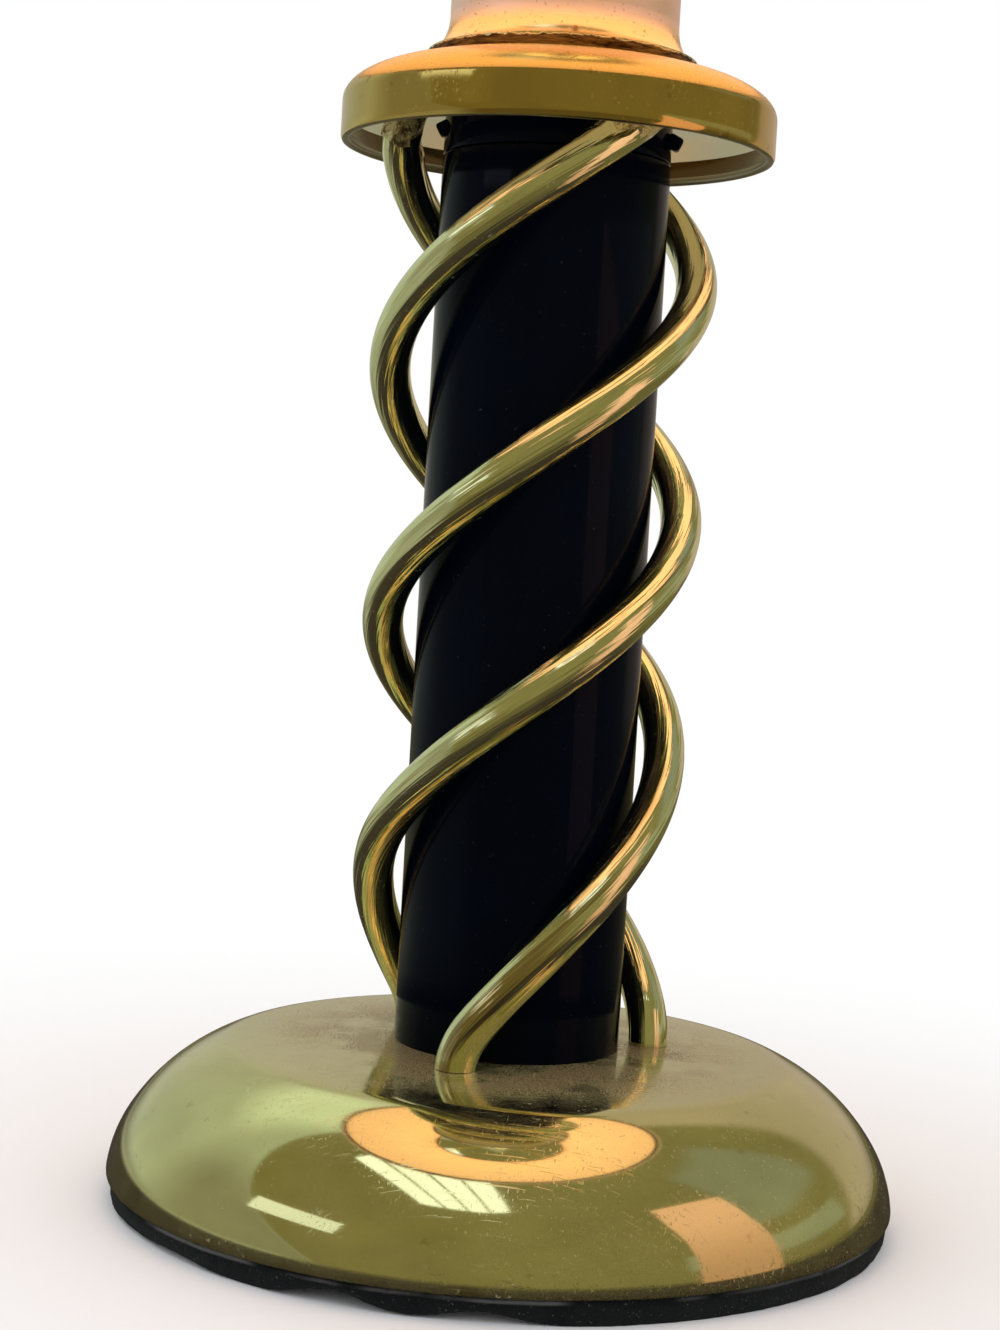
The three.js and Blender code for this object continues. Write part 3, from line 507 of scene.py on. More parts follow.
# TWISTED RODS
# Three solid brass bars bent round the column, which they clear by about 3 mm. They stand on the
# dome, steep at the foot, then climb steadily. Their tops are brazed under the disc, rough and
# pinched.
drawn_brass = brass("drawn_brass", (0.84, 0.83, 0.46), 0.03, 0.15, 0.25, 0.3, 0.10, drawn=True)
rough_braze, place = new_finish("rough_braze")
crumple = grain(place, 420, 4, 0.65)
cloud = grain(place, 120)
tone = grain(place, 420, 3).between(0.46, 0.70).mix((0.95, 0.82, 0.42), (0.17, 0.11, 0.04))
coat(rough_braze, tone, 0.04 + 0.12 * cloud, (cloud, 0.0030, 0.8), (crumple, 0.0016, 0.8), Metallic=0.95)
rod_radius = 4.57
helix_radius = 33.07
rod_foot = 37.2
rod_pitch = 163.6
foot_pitch = 3600
bend_pitch = 311
bends = ((0, 9, 1 / foot_pitch, 1 / bend_pitch), (9, 50, 1 / bend_pitch, 1 / rod_pitch))
first_angle = -16.0
rod_stations = 180
pinch_length = 0.019
pinch_fade = 0.009
lump_height = 0.0015
braze_length = 0.0155
levels = (0, 35, 80, 125, 170, 215)
wider = (0, -1.3, -0.7, 0.05, 0.8, 0.45)
aside = (0, -0.35, -0.5, -0.7, -1.2, -1.2)
ahead_by = (
    (0, 3.9, -6.2, -3.1, -2.35, -0.1),
    (0, 5.0, 0.1, 3.1, 4.5, 1.7),
    (0, 2.9, 0.2, 0.8, 1.6, 0.1),
)


def at_level(height, values):
    """A value between those given for the levels, joined smoothly."""
    height = min(max(height, levels[0]), levels[-1])
    step = max(i for i in range(len(levels) - 1) if levels[i] <= height)
    share = (height - levels[step]) / (levels[step + 1] - levels[step])
    share = share * share * (3 - 2 * share)
    return values[step] + (values[step + 1] - values[step]) * share


def rod_place(height, index):
    """The middle of a rod at a height above its foot, in metres. No rod is bent quite true."""
    turns = max(height - 50, 0) / rod_pitch + min(height, 0) / foot_pitch
    for low, high, slow, fast in bends:
        bent = min(max(height, low), high) - low
        turns += slow * bent + (fast - slow) * bent**2 / (2 * (high - low))
    angle = radians(first_angle + 120 * index + at_level(height, ahead_by[index])) + 2 * pi * turns
    reach = helix_radius + at_level(height, wider)
    return Vector(mm(reach * sin(angle) + at_level(height, aside), -reach * cos(angle), rod_foot + height))


def along(place, ahead, outwards):
    """The frame of a section that looks along the bar, its X axis away from the lamp's middle."""
    forward = (ahead - place).normalized()
    across = (outwards - forward * outwards.dot(forward)).normalized()
    turn = Matrix((across, forward.cross(across), forward)).transposed().to_4x4()
    return Matrix.Translation(place) @ turn


def cut_level(bm, height, **cleared):
    """Cuts a mesh level at a height in metres, clears one side and closes the cut."""
    geom = [*bm.verts, *bm.edges, *bm.faces]
    plane = {"plane_co": (0, 0, height), "plane_no": (0, 0, 1)}
    cut = bmesh.ops.bisect_plane(bm, geom=geom, dist=1e-6, **plane, **cleared)["geom_cut"]
    bmesh.ops.contextual_create(bm, geom=[part for part in cut if isinstance(part, bmesh.types.BMEdge)])


noise.seed_set(7)
for index in range(3):
    solid = f"twist_rod_{index + 1}"
    rod_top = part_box(solid)[1].z
    tall = rod_top * 1000 - rod_foot
    bm = bmesh.new()
    along_bar = bm.verts.layers.float_vector.new("along_bar")
    ring = bmesh.ops.create_circle(bm, radius=rod_radius * 0.001, segments=36)["verts"]
    pose = None
    length = index * 0.4
    for station in range(-4, rod_stations + 5):
        height = tall * station / rod_stations
        middle = rod_place(height, index)
        goal = along(middle, rod_place(height + 0.2, index), Vector((middle.x, middle.y, 0)))
        if pose:
            edges = [edge for edge in bm.edges if all(vert in ring for vert in edge.verts)]
            grown = bmesh.ops.extrude_edge_only(bm, edges=edges)["geom"]
            ring = {part for part in grown if isinstance(part, bmesh.types.BMVert)}
            bmesh.ops.transform(bm, matrix=goal @ pose.inverted(), verts=list(ring))
            length += (goal.translation - pose.translation).length
        else:
            bmesh.ops.transform(bm, matrix=goal, verts=ring)
            ring = set(ring)
        pose = goal
        for vert in ring:
            section = goal.inverted() @ vert.co
            vert[along_bar] = (section.x, section.y, length)
    cut_level(bm, crown_height(helix_radius) * 0.001, clear_inner=True)
    cut_level(bm, rod_top, clear_outer=True)
    face_out(bm)
    for vert in bm.verts:
        pinched = min(max((vert.co.z - rod_top + pinch_length) / pinch_fade, 0), 1)
        if 0 < pinched and vert.co.z < rod_top - 0.0005:
            lump = noise.noise_vector(vert.co * 210) + 0.7 * noise.noise_vector(vert.co * 480)
            vert.co += lump * lump_height * pinched
            vert.co.z = min(vert.co.z, rod_top)
    for face in bm.faces:
        middle = face.calc_center_median()
        if middle.z > rod_top - braze_length + 0.003 * noise.noise(middle * 160):
            face.material_index = 1
    add_piece(f"rod_{index + 1}", bm, drawn_brass, solid, smooth=60, more=[rough_braze])


# DISC
# A shallow cap spun from brass sheet and set over the column like an upturned dish. Its rim is
# straight, its shoulder full and rubbed dull, and its lower edge rolled in. Underneath it was
# never polished, and a glow is painted on it there as painted light.
def arc(middle, reach, first, last, count):
    """Points on an ellipse round a middle, from one angle in degrees to another."""
    angles = spread(radians(first), radians(last), count)
    return [(middle[0] + reach[0] * cos(turn), middle[1] + reach[1] * sin(turn)) for turn in angles]


disc_brass = brass("disc_brass", (0.61, 0.43, 0.12), 0.07, 0.25, 0.45, 1.0, 0.30)
worn_brass = brass("worn_brass", (0.67, 0.50, 0.15), 0.24, 0.25, 0.45, 0.6, 0.30)
satin_brass = brass("satin_brass", (0.42, 0.39, 0.31), 0.30, 0.3, 0.5, 0.3, 0.4)
# This brass is painted dark as painted shade, on the inner wall of the disc's rim and on the shade's wire
# rings.
painted_shade_brass = brass("painted_shade_brass", (0.16, 0.10, 0.045), 0.16, 0.3, 0.5, 0.3, 0.4)
dull_brass_painted_glow, place = new_finish("dull_brass_painted_glow")
stain = grain(place, 25, 4, 0.6).between(0.45, 0.62)
facing = place.node("LayerWeight", None, {"Blend": 0.5}, output="Facing")
# Its emission is a painted glow on the dull brass: warmer face-on, greyer towards the edges.
coat(
    dull_brass_painted_glow,
    (stain * 0.3).mix((0.56, 0.53, 0.40), (0.40, 0.34, 0.22)),
    0.45 + 0.12 * grain(place, 60, 3),
    (grain(place, 700, 3), 0.0002, 0.3),
    Metallic=0.2,
    Emission_Color=facing.between(0.1, 0.4).mix((0.26, 0.17, 0.08), (0.19, 0.18, 0.115)),
    Emission_Strength=1.0,
)

disc_radius, disc_rim, disc_top = extent("top_disc")
neck_foot_radius, neck_bottom, neck_top = extent("neck")
disc_wall = 1.3
disc_bend = disc_radius - neck_foot_radius
shoulder_rise = 8.6
shoulder_middle = (neck_foot_radius, disc_top - 0.8 - shoulder_rise)
lip = disc_radius - disc_wall - 1.0
outline = [
    *offset(lip, disc_rim, (0, 1), (0.12, 0.5), (0.5, 0.1), (1, 0)),
    *offset(disc_radius, disc_rim, (-0.9, 0), (-0.3, 0.25), (0, 0.9)),
    *[(disc_radius, height) for height in spread(disc_rim + 0.7, disc_rim + 8.8, 4)[1:4]],
    *arc(shoulder_middle, (disc_bend, shoulder_rise), 0, 90, 26),
    (neck_foot_radius - 1.2, disc_top), (bore, disc_top), (bore, disc_top - disc_wall - 0.8),
    *arc(shoulder_middle, (disc_bend - disc_wall, shoulder_rise - disc_wall), 90, 0, 16),
    *offset(disc_radius - disc_wall, disc_rim, (0, 5.6), (0, 2.8)), (lip + 0.2, disc_rim + 1.7),
]
bm = turned(outline, 256)
bm.normal_update()
for face in bm.faces:
    middle = face.calc_center_median()
    rise = middle.z * 1000 - disc_rim
    inwards = face.normal.x * middle.x + face.normal.y * middle.y < -0.3 * middle.xy.length
    if rise > 5.6 and (inwards or face.normal.z < -0.3):
        face.material_index = 1
    # The inner wall of the rim above the lip takes the brass painted dark as painted shade.
    elif rise > 1.5 and inwards:
        face.material_index = 2
    elif rise < 1.5 and middle.xy.length * 1000 < disc_radius - 0.5:
        face.material_index = 3
    elif face.normal.z > 0.3:
        face.material_index = 4
more = [dull_brass_painted_glow, painted_shade_brass, satin_brass, worn_brass]
add_piece("disc", bm, disc_brass, "top_disc", more=more)

# NECK
# A tube as wide as the column, with a foot that flares over the disc in a soft curve and ends in
# a short upright lip. A domed cap closes its top. The tube is satin, and brown dirt clings to the
# lip of the glossier foot.
neck_brass = brass("neck_brass", (1.0, 0.80, 0.74), 0.38, 0.2, 0.2, 0.2, 0.2)
flare_brass = brass("flare_brass", (0.84, 0.69, 0.32), 0.07, 0.35, 0.8, 0.4, 0.35)
crust_top = (neck_bottom + 1.8) * 0.001
foot_brass = brass("foot_brass", (0.88, 0.72, 0.34), 0.20, 0.5, 1.0, 0.6, 0.3, crust=crust_top)
neck_radius = neck_foot_radius - 4
foot_reach = neck_foot_radius + 0.6
flare_rise = 8.2
flare_top = neck_bottom + 2.2 + flare_rise
outline = [
    (neck_radius - 1.5, neck_bottom), *offset(neck_foot_radius, neck_bottom, (-1, 0), (-0.5, -0.7)),
    *offset(foot_reach, neck_bottom, (-0.3, -0.7), (0, -0.3), (0, 1.8)),
    *arc((foot_reach, flare_top), (foot_reach - neck_radius, flare_rise), -90, -180, 14),
    *[(neck_radius, height) for height in spread(flare_top, neck_top, 4)[1:4]],
    *offset(neck_radius, neck_top, (0, -0.2), (-0.2, 0), (-1.5, 0)),
]
bm = turned(outline, 192)
for face in bm.faces:
    if face.calc_center_median().z < (flare_top + 0.2) * 0.001:
        face.material_index = 1
add_piece("neck_tube", bm, neck_brass, "neck", smooth=50, more=[foot_brass])

cap_edge, cap_bottom, cap_top = extent("neck_cap")
cap_base = neck_top + 0.3
cap_shoulder = cap_base + 3
outline = [
    (bore, cap_bottom), (neck_radius - 1.9, cap_bottom), (neck_radius - 1.9, cap_base),
    *offset(cap_edge, cap_base, (-0.5, 0), (-0.1, 0.4), (0, 1.5), (-0.1, 2.6), (-0.5, 3)),
    *arc((9, cap_shoulder), (cap_edge - 10, cap_top - cap_shoulder), 0, 90, 10),
    (bore, cap_top),
]
add_piece("neck_lid", turned(outline, 160), flare_brass, "neck_cap")

# PIPE, NUTS AND WEIGHT
# The threaded pipe of plated steel clamps the whole lamp between its nuts. A cast iron ring in the
# base keeps it steady. All of it is inside, so the machined solids stay and only get their finish.
plated_steel, place = new_finish("plated_steel")
wear = grain(place, 400, 3)
tone = wear.mix((0.42, 0.41, 0.39), (0.66, 0.65, 0.61))
coat(plated_steel, tone, 0.28 + 0.18 * wear, (wear, 0.0001, 0.4), Metallic=1.0)
cast_iron, place = new_finish("cast_iron")
sand = grain(place, 900, 4, 0.7)
rust = grain(place, 70, 4, 0.6).between(0.52, 0.68)
tone = (rust * 0.5).mix((0.045, 0.044, 0.045), (0.11, 0.05, 0.025))
coat(cast_iron, tone, 0.6 + 0.2 * sand, (sand, 0.0006, 0.7), Metallic=0.6)


def finish_solids(finish, *names):
    for name in names:
        for holder in cad_nodes[name].material_slots:
            holder.material = finish


finish_solids(cast_iron, "base_weight")
nuts = ("bottom_nut", "rod_nut_1", "rod_nut_2", "rod_nut_3")
finish_solids(plated_steel, "threaded_pipe", "bottom_washer", *nuts)
finish_solids(dull_black, "column_bottom_plug")

# LEAD INLET
# A bushing of black plastic, snapped into a hole in the back of the dome, for a lead.
outline = [
    (3.2, -5.7), (5.2, -5.7), (6.2, -3.7), (5.2, -2.7), (5.2, 0.3), (7.2, 0.3), (7.75, 0.5), (7.8, 1.1),
    (7.4, 1.7), (6.3, 2.2), (4.6, 2.3), (3.7, 2.1), (3.2, 1.5),
]
bm = turned(outline, 64)
turn = Matrix.Rotation(-inlet_slope, 4, "X")
bmesh.ops.transform(bm, matrix=Matrix.Translation(inlet_place) @ turn, verts=bm.verts)
add_piece("inlet_bushing", bm, dull_black, "lead_inlet", slot="black_plastic")

# LOCK NUT AND SADDLE
# A brass hexagon nut closes the stack, and a bent brass strip on it carries the harp.
turned_brass = brass("turned_brass", (0.82, 0.70, 0.40), 0.05, 0.15, 0.25, 0.5, 0.16)
nut_bottom, nut_top = extent("lock_nut")[1:]
half = 8
corner = half / cos(pi / 6)
outline = [
    *offset(0, nut_bottom, (bore, 0), (half - 0.2, 0), (corner, 0.7)),
    *offset(0, nut_top, (corner, -0.7), (half - 0.2, 0), (bore, 0)),
]
bm = turned(outline, 144)
for vert in bm.verts:
    turn = atan2(vert.co.y, vert.co.x) % (pi / 3) - pi / 6
    flat = half * 0.001 / cos(turn)
    vert.co.xy *= min(flat / vert.co.xy.length, 1)
add_piece("pipe_nut", bm, turned_brass, "lock_nut", slot="contact_brass", smooth=30)


def skin(bm, rows):
    """Faces between rows of vertices."""
    for row, after in zip(rows, rows[1:]):
        for one in range(len(row) - 1):
            bm.faces.new((row[one], row[one + 1], after[one + 1], after[one]))


saddle_reach, saddle_bottom, saddle_top = extent("harp_saddle")
saddle_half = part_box("harp_saddle")[1].y * 1000
saddle_sheet = 1.2
bend = 2.4
ear = [(5.6, saddle_half), (6.4, saddle_half - 0.4), (6.7, saddle_half - 1.6), (6.9, 1.9), (7.8, 1.5)]
edge_line = [
    (0, saddle_bottom, saddle_half), (9, saddle_bottom, saddle_half),
    *[
        (x, z, saddle_half)
        for x, z in arc((saddle_reach - bend, saddle_bottom + bend), (bend, bend), -90, 0, 6)
    ],
    *[(saddle_reach, saddle_bottom + rise, half) for rise, half in ear],
    (saddle_reach, saddle_bottom + 16.2, 1.5), (saddle_reach, saddle_top, 0.9),
]
bm = bmesh.new()
across = (-1, -0.5, 0, 0.5, 1)
skin(bm, [[bm.verts.new(mm(x, side * half, z)) for side in across] for x, z, half in edge_line])
geom = [*bm.verts, *bm.edges, *bm.faces]
bmesh.ops.mirror(bm, geom=geom, matrix=Matrix.Identity(4), merge_dist=1e-6, axis="X")
face_out(bm)
middle_face = min(bm.faces, key=lambda face: abs(face.calc_center_median().x))
if middle_face.normal.z < 0:
    bmesh.ops.reverse_faces(bm, faces=bm.faces)
bmesh.ops.solidify(bm, geom=bm.faces, thickness=-saddle_sheet * 0.001)
face_out(bm)
add_piece("harp_strip", bm, flare_brass, "harp_saddle", smooth=35)

# SOCKET
# A brass bell and a shell with a bead round its mouth, a fibre liner in it, and a body of brown
# moulded plastic that carries the screw shell. The switch's stem comes out through a hole in front.
bell_radius, bell_bottom, bell_mouth = extent("socket_bell")
hub = 8.5
hub_top = bell_bottom + 5
bowl_rise = 10
bell_wall = 0.8
bowl_reach = bell_radius - hub
outline = [
    (bore, bell_bottom), *offset(hub, bell_bottom, (-0.4, 0), (0, 0.4)),
    *offset(hub, hub_top, (0, -1.4), (0.35, -0.9)),
    *arc((hub, hub_top + bowl_rise), (bowl_reach, bowl_rise), -90, 0, 14),
    *offset(bell_radius, bell_mouth, (0, -2.4), (-0.35, -2), (-0.35, -1.3), (0, -0.9)),
    *offset(bell_radius, bell_mouth, (-0.1, -0.1), (-0.4, 0), (-0.8, -0.3)),
    *arc((hub - bell_wall, hub_top + bowl_rise), (bowl_reach, bowl_rise - bell_wall), 0, -90, 10),
    (bore, hub_top + bell_wall),
]
add_piece("bell", turned(outline, 128), flare_brass, "socket_bell")

shell_reach, shell_bottom, shell_top = extent("socket_shell")
switch_low, switch_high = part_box("switch_stem")
switch_axis = (switch_low.z + switch_high.z) / 2
shell_radius = shell_reach - 0.5
shell_wall = 0.6
stem_hole = 3.0
below_hole = switch_axis * 1000 - 4
above_hole = switch_axis * 1000 + 4
heights = [
    *spread(shell_bottom, below_hole, 3)[:3],
    *spread(below_hole, above_hole, 8),
    *spread(above_hole, shell_top - 4, 5)[1:],
]
outline = [
    *[(shell_radius, height) for height in heights],
    *offset(shell_radius, shell_top, (0.15, -2.9), (0.45, -2.4), (0.5, -1.9), (0.35, -1.4)),
    *offset(shell_radius, shell_top, (0, -1), (0.1, 0)),
]
bm = turned(outline, 108, closed=False)


def from_stem(place):
    """The distance from the switch's axis, sideways and up, for what is in front."""
    return hypot(place.x, place.z - switch_axis) if place.y < 0 else 1.0


opened = [face for face in bm.faces if from_stem(face.calc_center_median()) < stem_hole * 0.001]
bmesh.ops.delete(bm, geom=opened, context="FACES")
for vert in bm.verts:
    off = from_stem(vert.co)
    if off < 0.0042 and vert.is_boundary:
        vert.co.x *= stem_hole * 0.001 / off
        vert.co.z = switch_axis + (vert.co.z - switch_axis) * stem_hole * 0.001 / off
face_out(bm)
first_face = bm.faces[:][0]
if first_face.normal.dot(first_face.calc_center_median().xy.to_3d()) < 0:
    bmesh.ops.reverse_faces(bm, faces=bm.faces)
bmesh.ops.solidify(bm, geom=bm.faces, thickness=shell_wall * 0.001)
face_out(bm)
add_piece("shell", bm, flare_brass, "socket_shell", smooth=35)

fibre_board, place = new_finish("fibre_board")
fibres = grain(place, 500, 4, 0.7, (1, 1, 0.15))
coat(fibre_board, fibres.mix((0.20, 0.13, 0.07), (0.36, 0.25, 0.14)), 0.9, (fibres, 0.0002, 0.6))
brown_moulding, place = new_finish("brown_moulding")
marble = grain(place, 130, 5, 0.6)
tone = marble.mix((0.010, 0.007, 0.006), (0.030, 0.018, 0.012))
coat(brown_moulding, tone, 0.3 + 0.25 * marble, (marble, 0.0001, 0.3))
finish_solids(fibre_board, "socket_liner")
finish_solids(brown_moulding, "socket_body")
# The screw shell and centre contact carry the same painted glow.
finish_solids(dull_brass_painted_glow, "screw_shell", "centre_contact")


# TURN SWITCH
# A brass stem and a fluted black knob, turned by hand to light the bulb.
def point_forward(bm):
    """Lays a piece made round the Z axis on the switch's axis, facing the front."""
    turn = Matrix.Rotation(pi / 2, 4, "X")
    bmesh.ops.transform(bm, matrix=Matrix.Translation((0, 0, switch_axis)) @ turn, verts=bm.verts)


inner = -switch_high.y * 1000
stem_tip = -switch_low.y * 1000
bm = turned([(0, inner), (2.2, inner), (2.2, stem_tip - 0.4), (1.8, stem_tip), (0, stem_tip)], 48)
point_forward(bm)
add_piece("stem", bm, turned_brass, "switch_stem", slot="contact_brass", body="switch")

knob_low, knob_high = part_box("switch_knob")
inner = -knob_high.y * 1000
outer = -knob_low.y * 1000
flutes = 18
flute_depth = 0.07
outline = [
    *offset(0, inner, (2.6, 0), (4.2, 0), (4.6, 0.3), (5, 1), (5.7, 1.4), (5.95, 2.2), (5.8, 5), (5.5, 9)),
    *offset(0, outer, (5.2, -1.6), (4.9, -0.7), (4.2, -0.1), (2.5, 0), (0, -0.1)),
    *offset(0, stem_tip, (0, 0.3), (2.6, 0.3)),
]
bm = turned(outline, 144)
for vert in bm.verts:
    if vert.co.xy.length > 0.0048:
        ridge = abs(sin(flutes / 2 * atan2(vert.co.y, vert.co.x)))
        vert.co.xy *= 1 - flute_depth * (1 - ridge) ** 2
point_forward(bm)
add_piece("knob", bm, dull_black, "switch_knob", slot="black_plastic", body="switch", smooth=30)

# BULB
# A round-headed bulb with a screw cap, frosted inside. It is lit, so the glass glows warm white.
bulb_metal, place = new_finish("bulb_metal")
haze = grain(place, 120, 3)
tone = haze.mix((0.60, 0.59, 0.57), (0.78, 0.77, 0.75))
coat(bulb_metal, tone, 0.22 + 0.15 * haze, (haze, 0.0001, 0.3), Metallic=1.0)
cap_radius, thread_bottom, thread_top = extent("bulb_cap")
thread_depth = 0.9
thread_pitch = 2.56
threads = [
    (cap_radius - thread_depth / 2 * (1 + cos(pi / 4 * i)), thread_bottom + 4.5 + thread_pitch * i / 8)
    for i in range(41)
]
outline = [
    (0, thread_bottom), (4.2, thread_bottom), (5, thread_bottom + 0.3),
    (cap_radius - 2.4, thread_bottom + 3.4), *threads,
    (cap_radius - 0.1, thread_top - 1.6), (cap_radius, thread_top), (0, thread_top),
]
add_piece("bulb_thread", turned(outline, 96), bulb_metal, "bulb_cap", slot="bulb_metal")
finish_solids(bulb_metal, "bulb_tip")

glass_bottom, glass_top = extent("bulb_glass")[1:]
bulb_radius = 30
glass_neck = 13.4
ball_middle = glass_top - bulb_radius
lit_glass, place = new_finish("lit_glass")
frost = grain(place, 1500, 3, 0.6)
glow = place.axis(2).between(glass_bottom * 0.001, ball_middle * 0.001)
coat(
    lit_glass, (0.86, 0.84, 0.80), 0.25 + 0.2 * frost, (frost, 0.00005, 0.3),
    Emission_Color=glow.mix((0.45, 0.22, 0.09), (1.0, 0.74, 0.45)), Emission_Strength=3.5,
)


def glass_wall(depth):
    radius = bulb_radius - depth
    foot, waist = (glass_neck, glass_bottom + 4), (0.86 * bulb_radius, ball_middle - 0.5 * bulb_radius)
    swell = []
    for i in range(12):
        share = i / 12
        ease = share * share * (3 - 2 * share)
        rise = foot[1] + (waist[1] - foot[1]) * share
        swell.append((foot[0] + (waist[0] - foot[0]) * ease - depth, rise))
    ball = arc((0, ball_middle), (radius, radius), -30, 84, 19)
    return [(glass_neck - depth, glass_bottom), *swell, *ball, (0, ball_middle + radius)]


bm = turned([*glass_wall(0), *glass_wall(1)[::-1]], 96)
add_piece("bulb", bm, lit_glass, "bulb_glass", slot="frosted_glass", smooth=60)

# HARP
# Brass wire bent into a bow over the bulb. Its ends stand in two sleeves that lift to free it,
# and a pad in the middle of its top carries the shade's stud.
pad_top = extent("harp_bow")[2]
harp_line = pad_top - 1.8
leg_axis = 24.0
harp_half = 54.0
leg_bottom = saddle_bottom + 8.7
leg_top = saddle_bottom + 38


def add_wire(name, thickness, steps, route, body, stands_for):
    """A piece of brass wire. A point of its route is a place, with its two handles if they are set."""
    wire = bpy.data.curves.new(name, "CURVE")
    wire.dimensions = "3D"
    wire.bevel_depth = thickness / 2 * 0.001
    wire.bevel_resolution = 5
    wire.use_fill_caps = True
    wire.resolution_u = steps
    spline = wire.splines.new("BEZIER")
    spline.bezier_points.add(len(route) - 1)
    for point, (place, *handles) in zip(spline.bezier_points, route):
        point.co = place
        point.handle_left_type = point.handle_right_type = "FREE" if handles else "AUTO"
        if handles:
            point.handle_left, point.handle_right = handles
    wire.materials.append(flare_brass)
    settle(link_object(name, wire), body, [stands_for])


bow_heights = [leg_top + (harp_line - leg_top) * share for share in (0.22, 0.5, 0.75, 0.95)]
side = [
    (leg_axis, leg_bottom), (leg_axis, (leg_bottom + leg_top) / 2), (leg_axis, leg_top),
    *zip((0.86 * harp_half, harp_half, 0.9 * harp_half, 0.55 * harp_half), bow_heights), (7, harp_line),
]
route = [[mm(x, 0, z)] for x, z in [*side, *[(-x, z) for x, z in reversed(side)]]]
add_wire("harp_wire", 3.2, 14, route, "lamp", "harp_bow")
bm = turned([(2.6, pad_top - 3.6), (7, pad_top - 3.6), (7, pad_top), (2.6, pad_top)], 72, 0.4)
add_piece("harp_pad", bm, flare_brass, "harp_bow")

for sleeve in ("sleeve_left", "sleeve_right"):
    low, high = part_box(f"harp_{sleeve}")
    bottom = low.z * 1000
    top = high.z * 1000
    outline = [
        *offset(0, bottom, (3.3, 0.3), (3.6, 0), (3.85, 0.1), (4, 0.5), (4, 3.2), (3.75, 3.7)),
        *offset(0, bottom, (3.75, 4.5), (4, 5)),
        *offset(0, top, (4, -2.2), (3.9, -0.8), (3.6, 0), (3.3, -0.2)),
    ]
    bm = turned(outline, 64)
    bmesh.ops.translate(bm, verts=bm.verts, vec=((low.x + high.x) / 2, 0, 0))
    add_piece(f"{sleeve}_tube", bm, flare_brass, f"harp_{sleeve}", body=sleeve)

# STUD AND FINIAL
# The stud turns in the harp's pad. The finial screws on to it and clamps the shade's carrier.
head_bottom, stud_top = extent("swivel_stud")[1:]
collar_bottom = pad_top + 0.3
outline = [
    *offset(0, head_bottom, (0, 0), (3.4, 0), (4.2, 0.7), (4.2, 1.2), (2.2, 1.2)),
    *offset(0, collar_bottom, (2.2, 0), (5.7, 0), (6, 0.3), (6, 1.7), (5.7, 2), (3, 2)),
    *offset(0, stud_top, (3, -0.6), (2.4, 0), (0, 0)),
]
add_piece("stud", turned(outline, 72), turned_brass, "swivel_stud", body="shade")

foot, tip = extent("finial")[1:]
knob_radius = 7.0
knob_middle = tip - knob_radius
outline = [
    (0, stud_top + 0.3), (3.4, stud_top + 0.3),
    *offset(0, foot, (3.4, 0), (5.6, 0), (6, 0.4), (6, 1.7), (5.7, 2.1), (5, 2.9), (4.6, 4.2)),
    *offset(0, foot, (4.6, 9.4), (5.1, 9.8), (5.4, 10.5), (5.1, 11.2), (4.6, 11.6)),
    (4.15, knob_middle - 5.75), *arc((0, knob_middle), (knob_radius, knob_radius), -54, 84, 23), (0, tip),
]
add_piece("finial_knob", turned(outline, 96), turned_brass, "finial", body="shade", smooth=30)

# SHADE
# Linen laminated to a stiff cone, with a seam down the back and both edges bound with tape. A wire
# ring holds each edge from inside, and three wires from the top ring meet in a washer under the
# finial.
# The cloth, the tapes and the lining glow with painted light, standing for the bulb's light on and through
# them.
cone_bottom, cone_top = extent("shade_shell")[1:]
bottom_radius = 165.0
top_radius = 100.0
cone_wall = 1.2


def cone_radius(height, depth=0.0):
    share = (height - cone_bottom) / (cone_top - cone_bottom)
    return bottom_radius + (top_radius - bottom_radius) * share - depth


def lit_band(place, low_fade, high_fade, darkening):
    """A band of painted bulb light, brightest level with the bulb. The two fades are heights above the
    shade's foot.
    """
    height = place.axis(2)
    low, middle_low, middle_high, high = ((cone_bottom + rise) * 0.001 for rise in (*low_fade, *high_fade))
    return height.between(low, middle_low) * (1 - height.between(middle_high, high) * darkening)


def linen(name, light, dark, glow_low, glow_high, strength):
    finish, place = new_finish(name)
    around = place.axis(0).maths("ARCTAN2", place.axis(1)) * 0.1325
    slub = grain(place, 300, 3, 0.6, (1, 1, 0.12))
    weft = grain(place, 300, 3, 0.6, (0.12, 0.12, 1))
    warp_threads = (around * (2 * pi / 0.0011) + slub * 2.0).maths("SINE")
    weft_threads = (place.axis(2) * (2 * pi / 0.0012) + weft * 2.5).maths("SINE")
    weave = warp_threads * weft_threads * 0.5 + 0.5
    threads = weave * 0.5 + 0.3 * slub + 0.3 * weft
    # The emission is a painted glow of the bulb's light through the cloth, brightest level with the bulb.
    warm = lit_band(place, (0, 95), (115, cone_top - cone_bottom), 0.55).mix(glow_low, glow_high)
    warm = (threads.between(0.1, 0.9) * 0.35).mix(warm, (0.55, 0.34, 0.18), "MULTIPLY")
    return coat(
        finish, threads.between(0.15, 0.85).mix(dark, light), 0.9,
        (weave, 0.00022, 0.7), (slub + weft, 0.0003, 0.4),
        Specular_IOR_Level=0.2, Sheen_Weight=0.15, Emission_Color=warm, Emission_Strength=strength,
    )


cloth_tones = ((0.65, 0.57, 0.45), (0.44, 0.36, 0.27), (0.28, 0.16, 0.07), (0.80, 0.52, 0.29))
shade_cloth = linen("shade_cloth", *cloth_tones, strength=0.45)
tape_tones = ((0.74, 0.62, 0.45), (0.55, 0.43, 0.28), (0.30, 0.17, 0.08), (0.36, 0.21, 0.10))
shade_tape = linen("shade_tape", *tape_tones, strength=0.12)
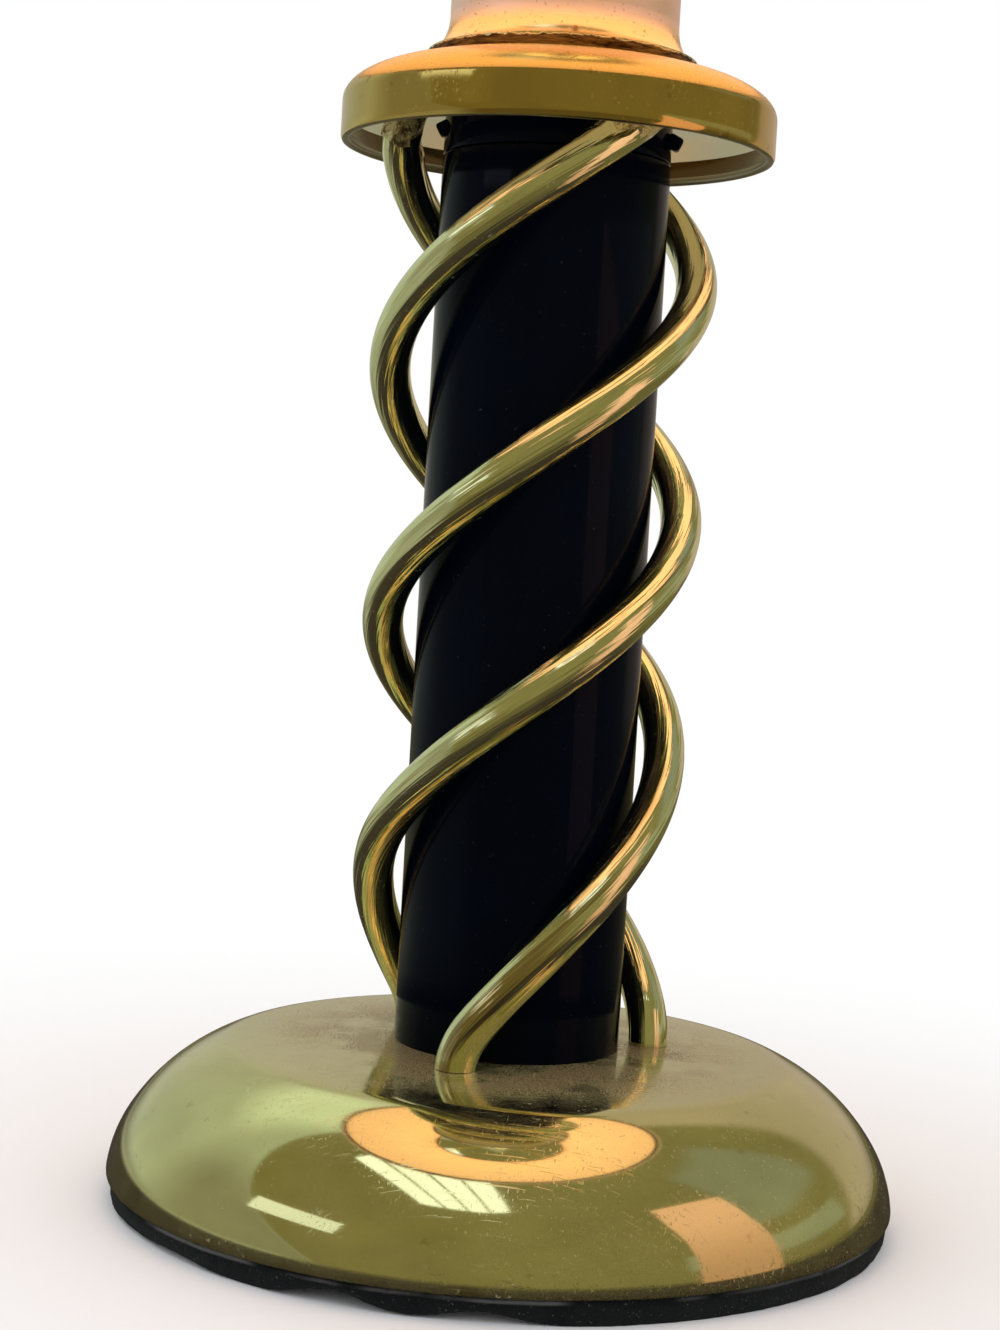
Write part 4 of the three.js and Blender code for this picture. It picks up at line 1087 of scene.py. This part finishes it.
# The lining's emission is painted light: a glow of the bulb, brightest level with it, left out in the lowest
# band, which shows dark as painted shade along the shade's foot.
shade_lining, place = new_finish("shade_lining")
mottle = grain(place, 60, 3)
painted_bulb_light = lit_band(place, (-20, 95), (120, cone_top - cone_bottom + 10), 0.5)
tape_height = 9
tape_top = (cone_bottom + tape_height) * 0.001
painted_glow_above_tape = place.axis(2).between(tape_top - 0.002, tape_top)
coat(
    shade_lining, mottle.mix((0.78, 0.66, 0.51), (0.84, 0.73, 0.58)), 0.7, (mottle, 0.0004, 0.3),
    Specular_IOR_Level=0.2,
    Emission_Color=painted_glow_above_tape.mix((0, 0, 0), painted_bulb_light.mix((0.86, 0.41, 0.26), (0.95, 0.47, 0.29))),
    Emission_Strength=0.64,
)
heights = spread(cone_bottom, cone_top, 12)
outline = [(cone_radius(height), height) for height in heights]
outline += [(cone_radius(height, cone_wall), height) for height in reversed(heights)]
bm = turned(outline, 180)
for face in bm.faces:
    middle = face.calc_center_median()
    if face.normal.x * middle.x + face.normal.y * middle.y < 0:
        face.material_index = 1
more = [shade_lining]
cone = add_piece(
    "shade_cone", bm, shade_cloth, "shade_shell", slot="shade_cloth", body="shade", smooth=50, more=more
)

seam_half = 5.0
seam_line = ((-1, 0.0), (-0.94, 0.35), (0, 0.45), (0.94, 0.35), (1, 0.0))
bm = bmesh.new()
rows = []
for height in spread(cone_bottom + 1, cone_top - 1, 10):
    radius = cone_radius(height)
    places = [(radius + rise, side * seam_half / radius) for side, rise in seam_line]
    rows.append([bm.verts.new(mm(reach * sin(turn), reach * cos(turn), height)) for reach, turn in places])
skin(bm, [[*row, row[0]] for row in rows])
bm.faces.new(rows[0])
bm.faces.new(rows[-1])
face_out(bm)
bindings = [add_piece("shade_seam", bm, shade_cloth, slot="shade_cloth", body="shade")]

for name, first, last, edge in (
    ("top", cone_top - tape_height, cone_top, 1),
    ("bottom", cone_bottom + tape_height, cone_bottom, -1),
):
    line = [(0.32, first, 0), (0.75, first, 0.3)]
    line += [(0.8, height, 0) for height in spread(first, last, 4)[1:4]]
    line += [(0.7, last, -0.4), (0.4, last, 0), (0.31, last, -0.2)]
    bm = turned([(cone_radius(height) + rise, height + edge * step) for rise, height, step in line], 180)
    solid = f"shade_{name}_trim"
    bindings.append(add_piece(f"{name}_tape", bm, shade_tape, solid, slot="shade_tape", body="shade"))

wire_radius = 1.8
wire_depth = cone_wall + 0.3 + wire_radius + 0.4
top_level = cone_top - 3
rings = (("top_ring", top_level, "shade_spider"), ("bottom_ring", cone_bottom + 3, "shade_bottom_ring"))
# The rings take the brass painted dark as painted shade, so they show as a dark outline.
for name, level, solid in rings:
    middle = (cone_radius(level, wire_depth), level)
    bm = turned(arc(middle, (wire_radius, wire_radius), 0, 337.5, 15), 160)
    add_piece(name, bm, painted_shade_brass, solid, body="shade", smooth=60)

washer_bottom = collar_bottom + 2.3
washer_top = washer_bottom + 1.6
outline = [(3.4, washer_bottom), (9, washer_bottom), (9, washer_top), (3.4, washer_top)]
add_piece("carrier_washer", turned(outline, 72, 0.35), flare_brass, "shade_spider", body="shade")
ring_radius = cone_radius(top_level, wire_depth)
arm_level = washer_bottom + 1.3
for index in range(3):
    turn = pi / 2 + 2 * pi * index / 3
    start, bend, end = (
        Vector(mm(reach * cos(turn), reach * sin(turn), level))
        for reach, level in ((7.5, arm_level), (0.35 * ring_radius, arm_level), (ring_radius, top_level))
    )
    route = [(start, start, start.lerp(bend, 2 / 3)), (end, end.lerp(bend, 2 / 3), end)]
    add_wire(f"carrier_arm_{index + 1}", 3.4, 20, route, "shade", "shade_spider")
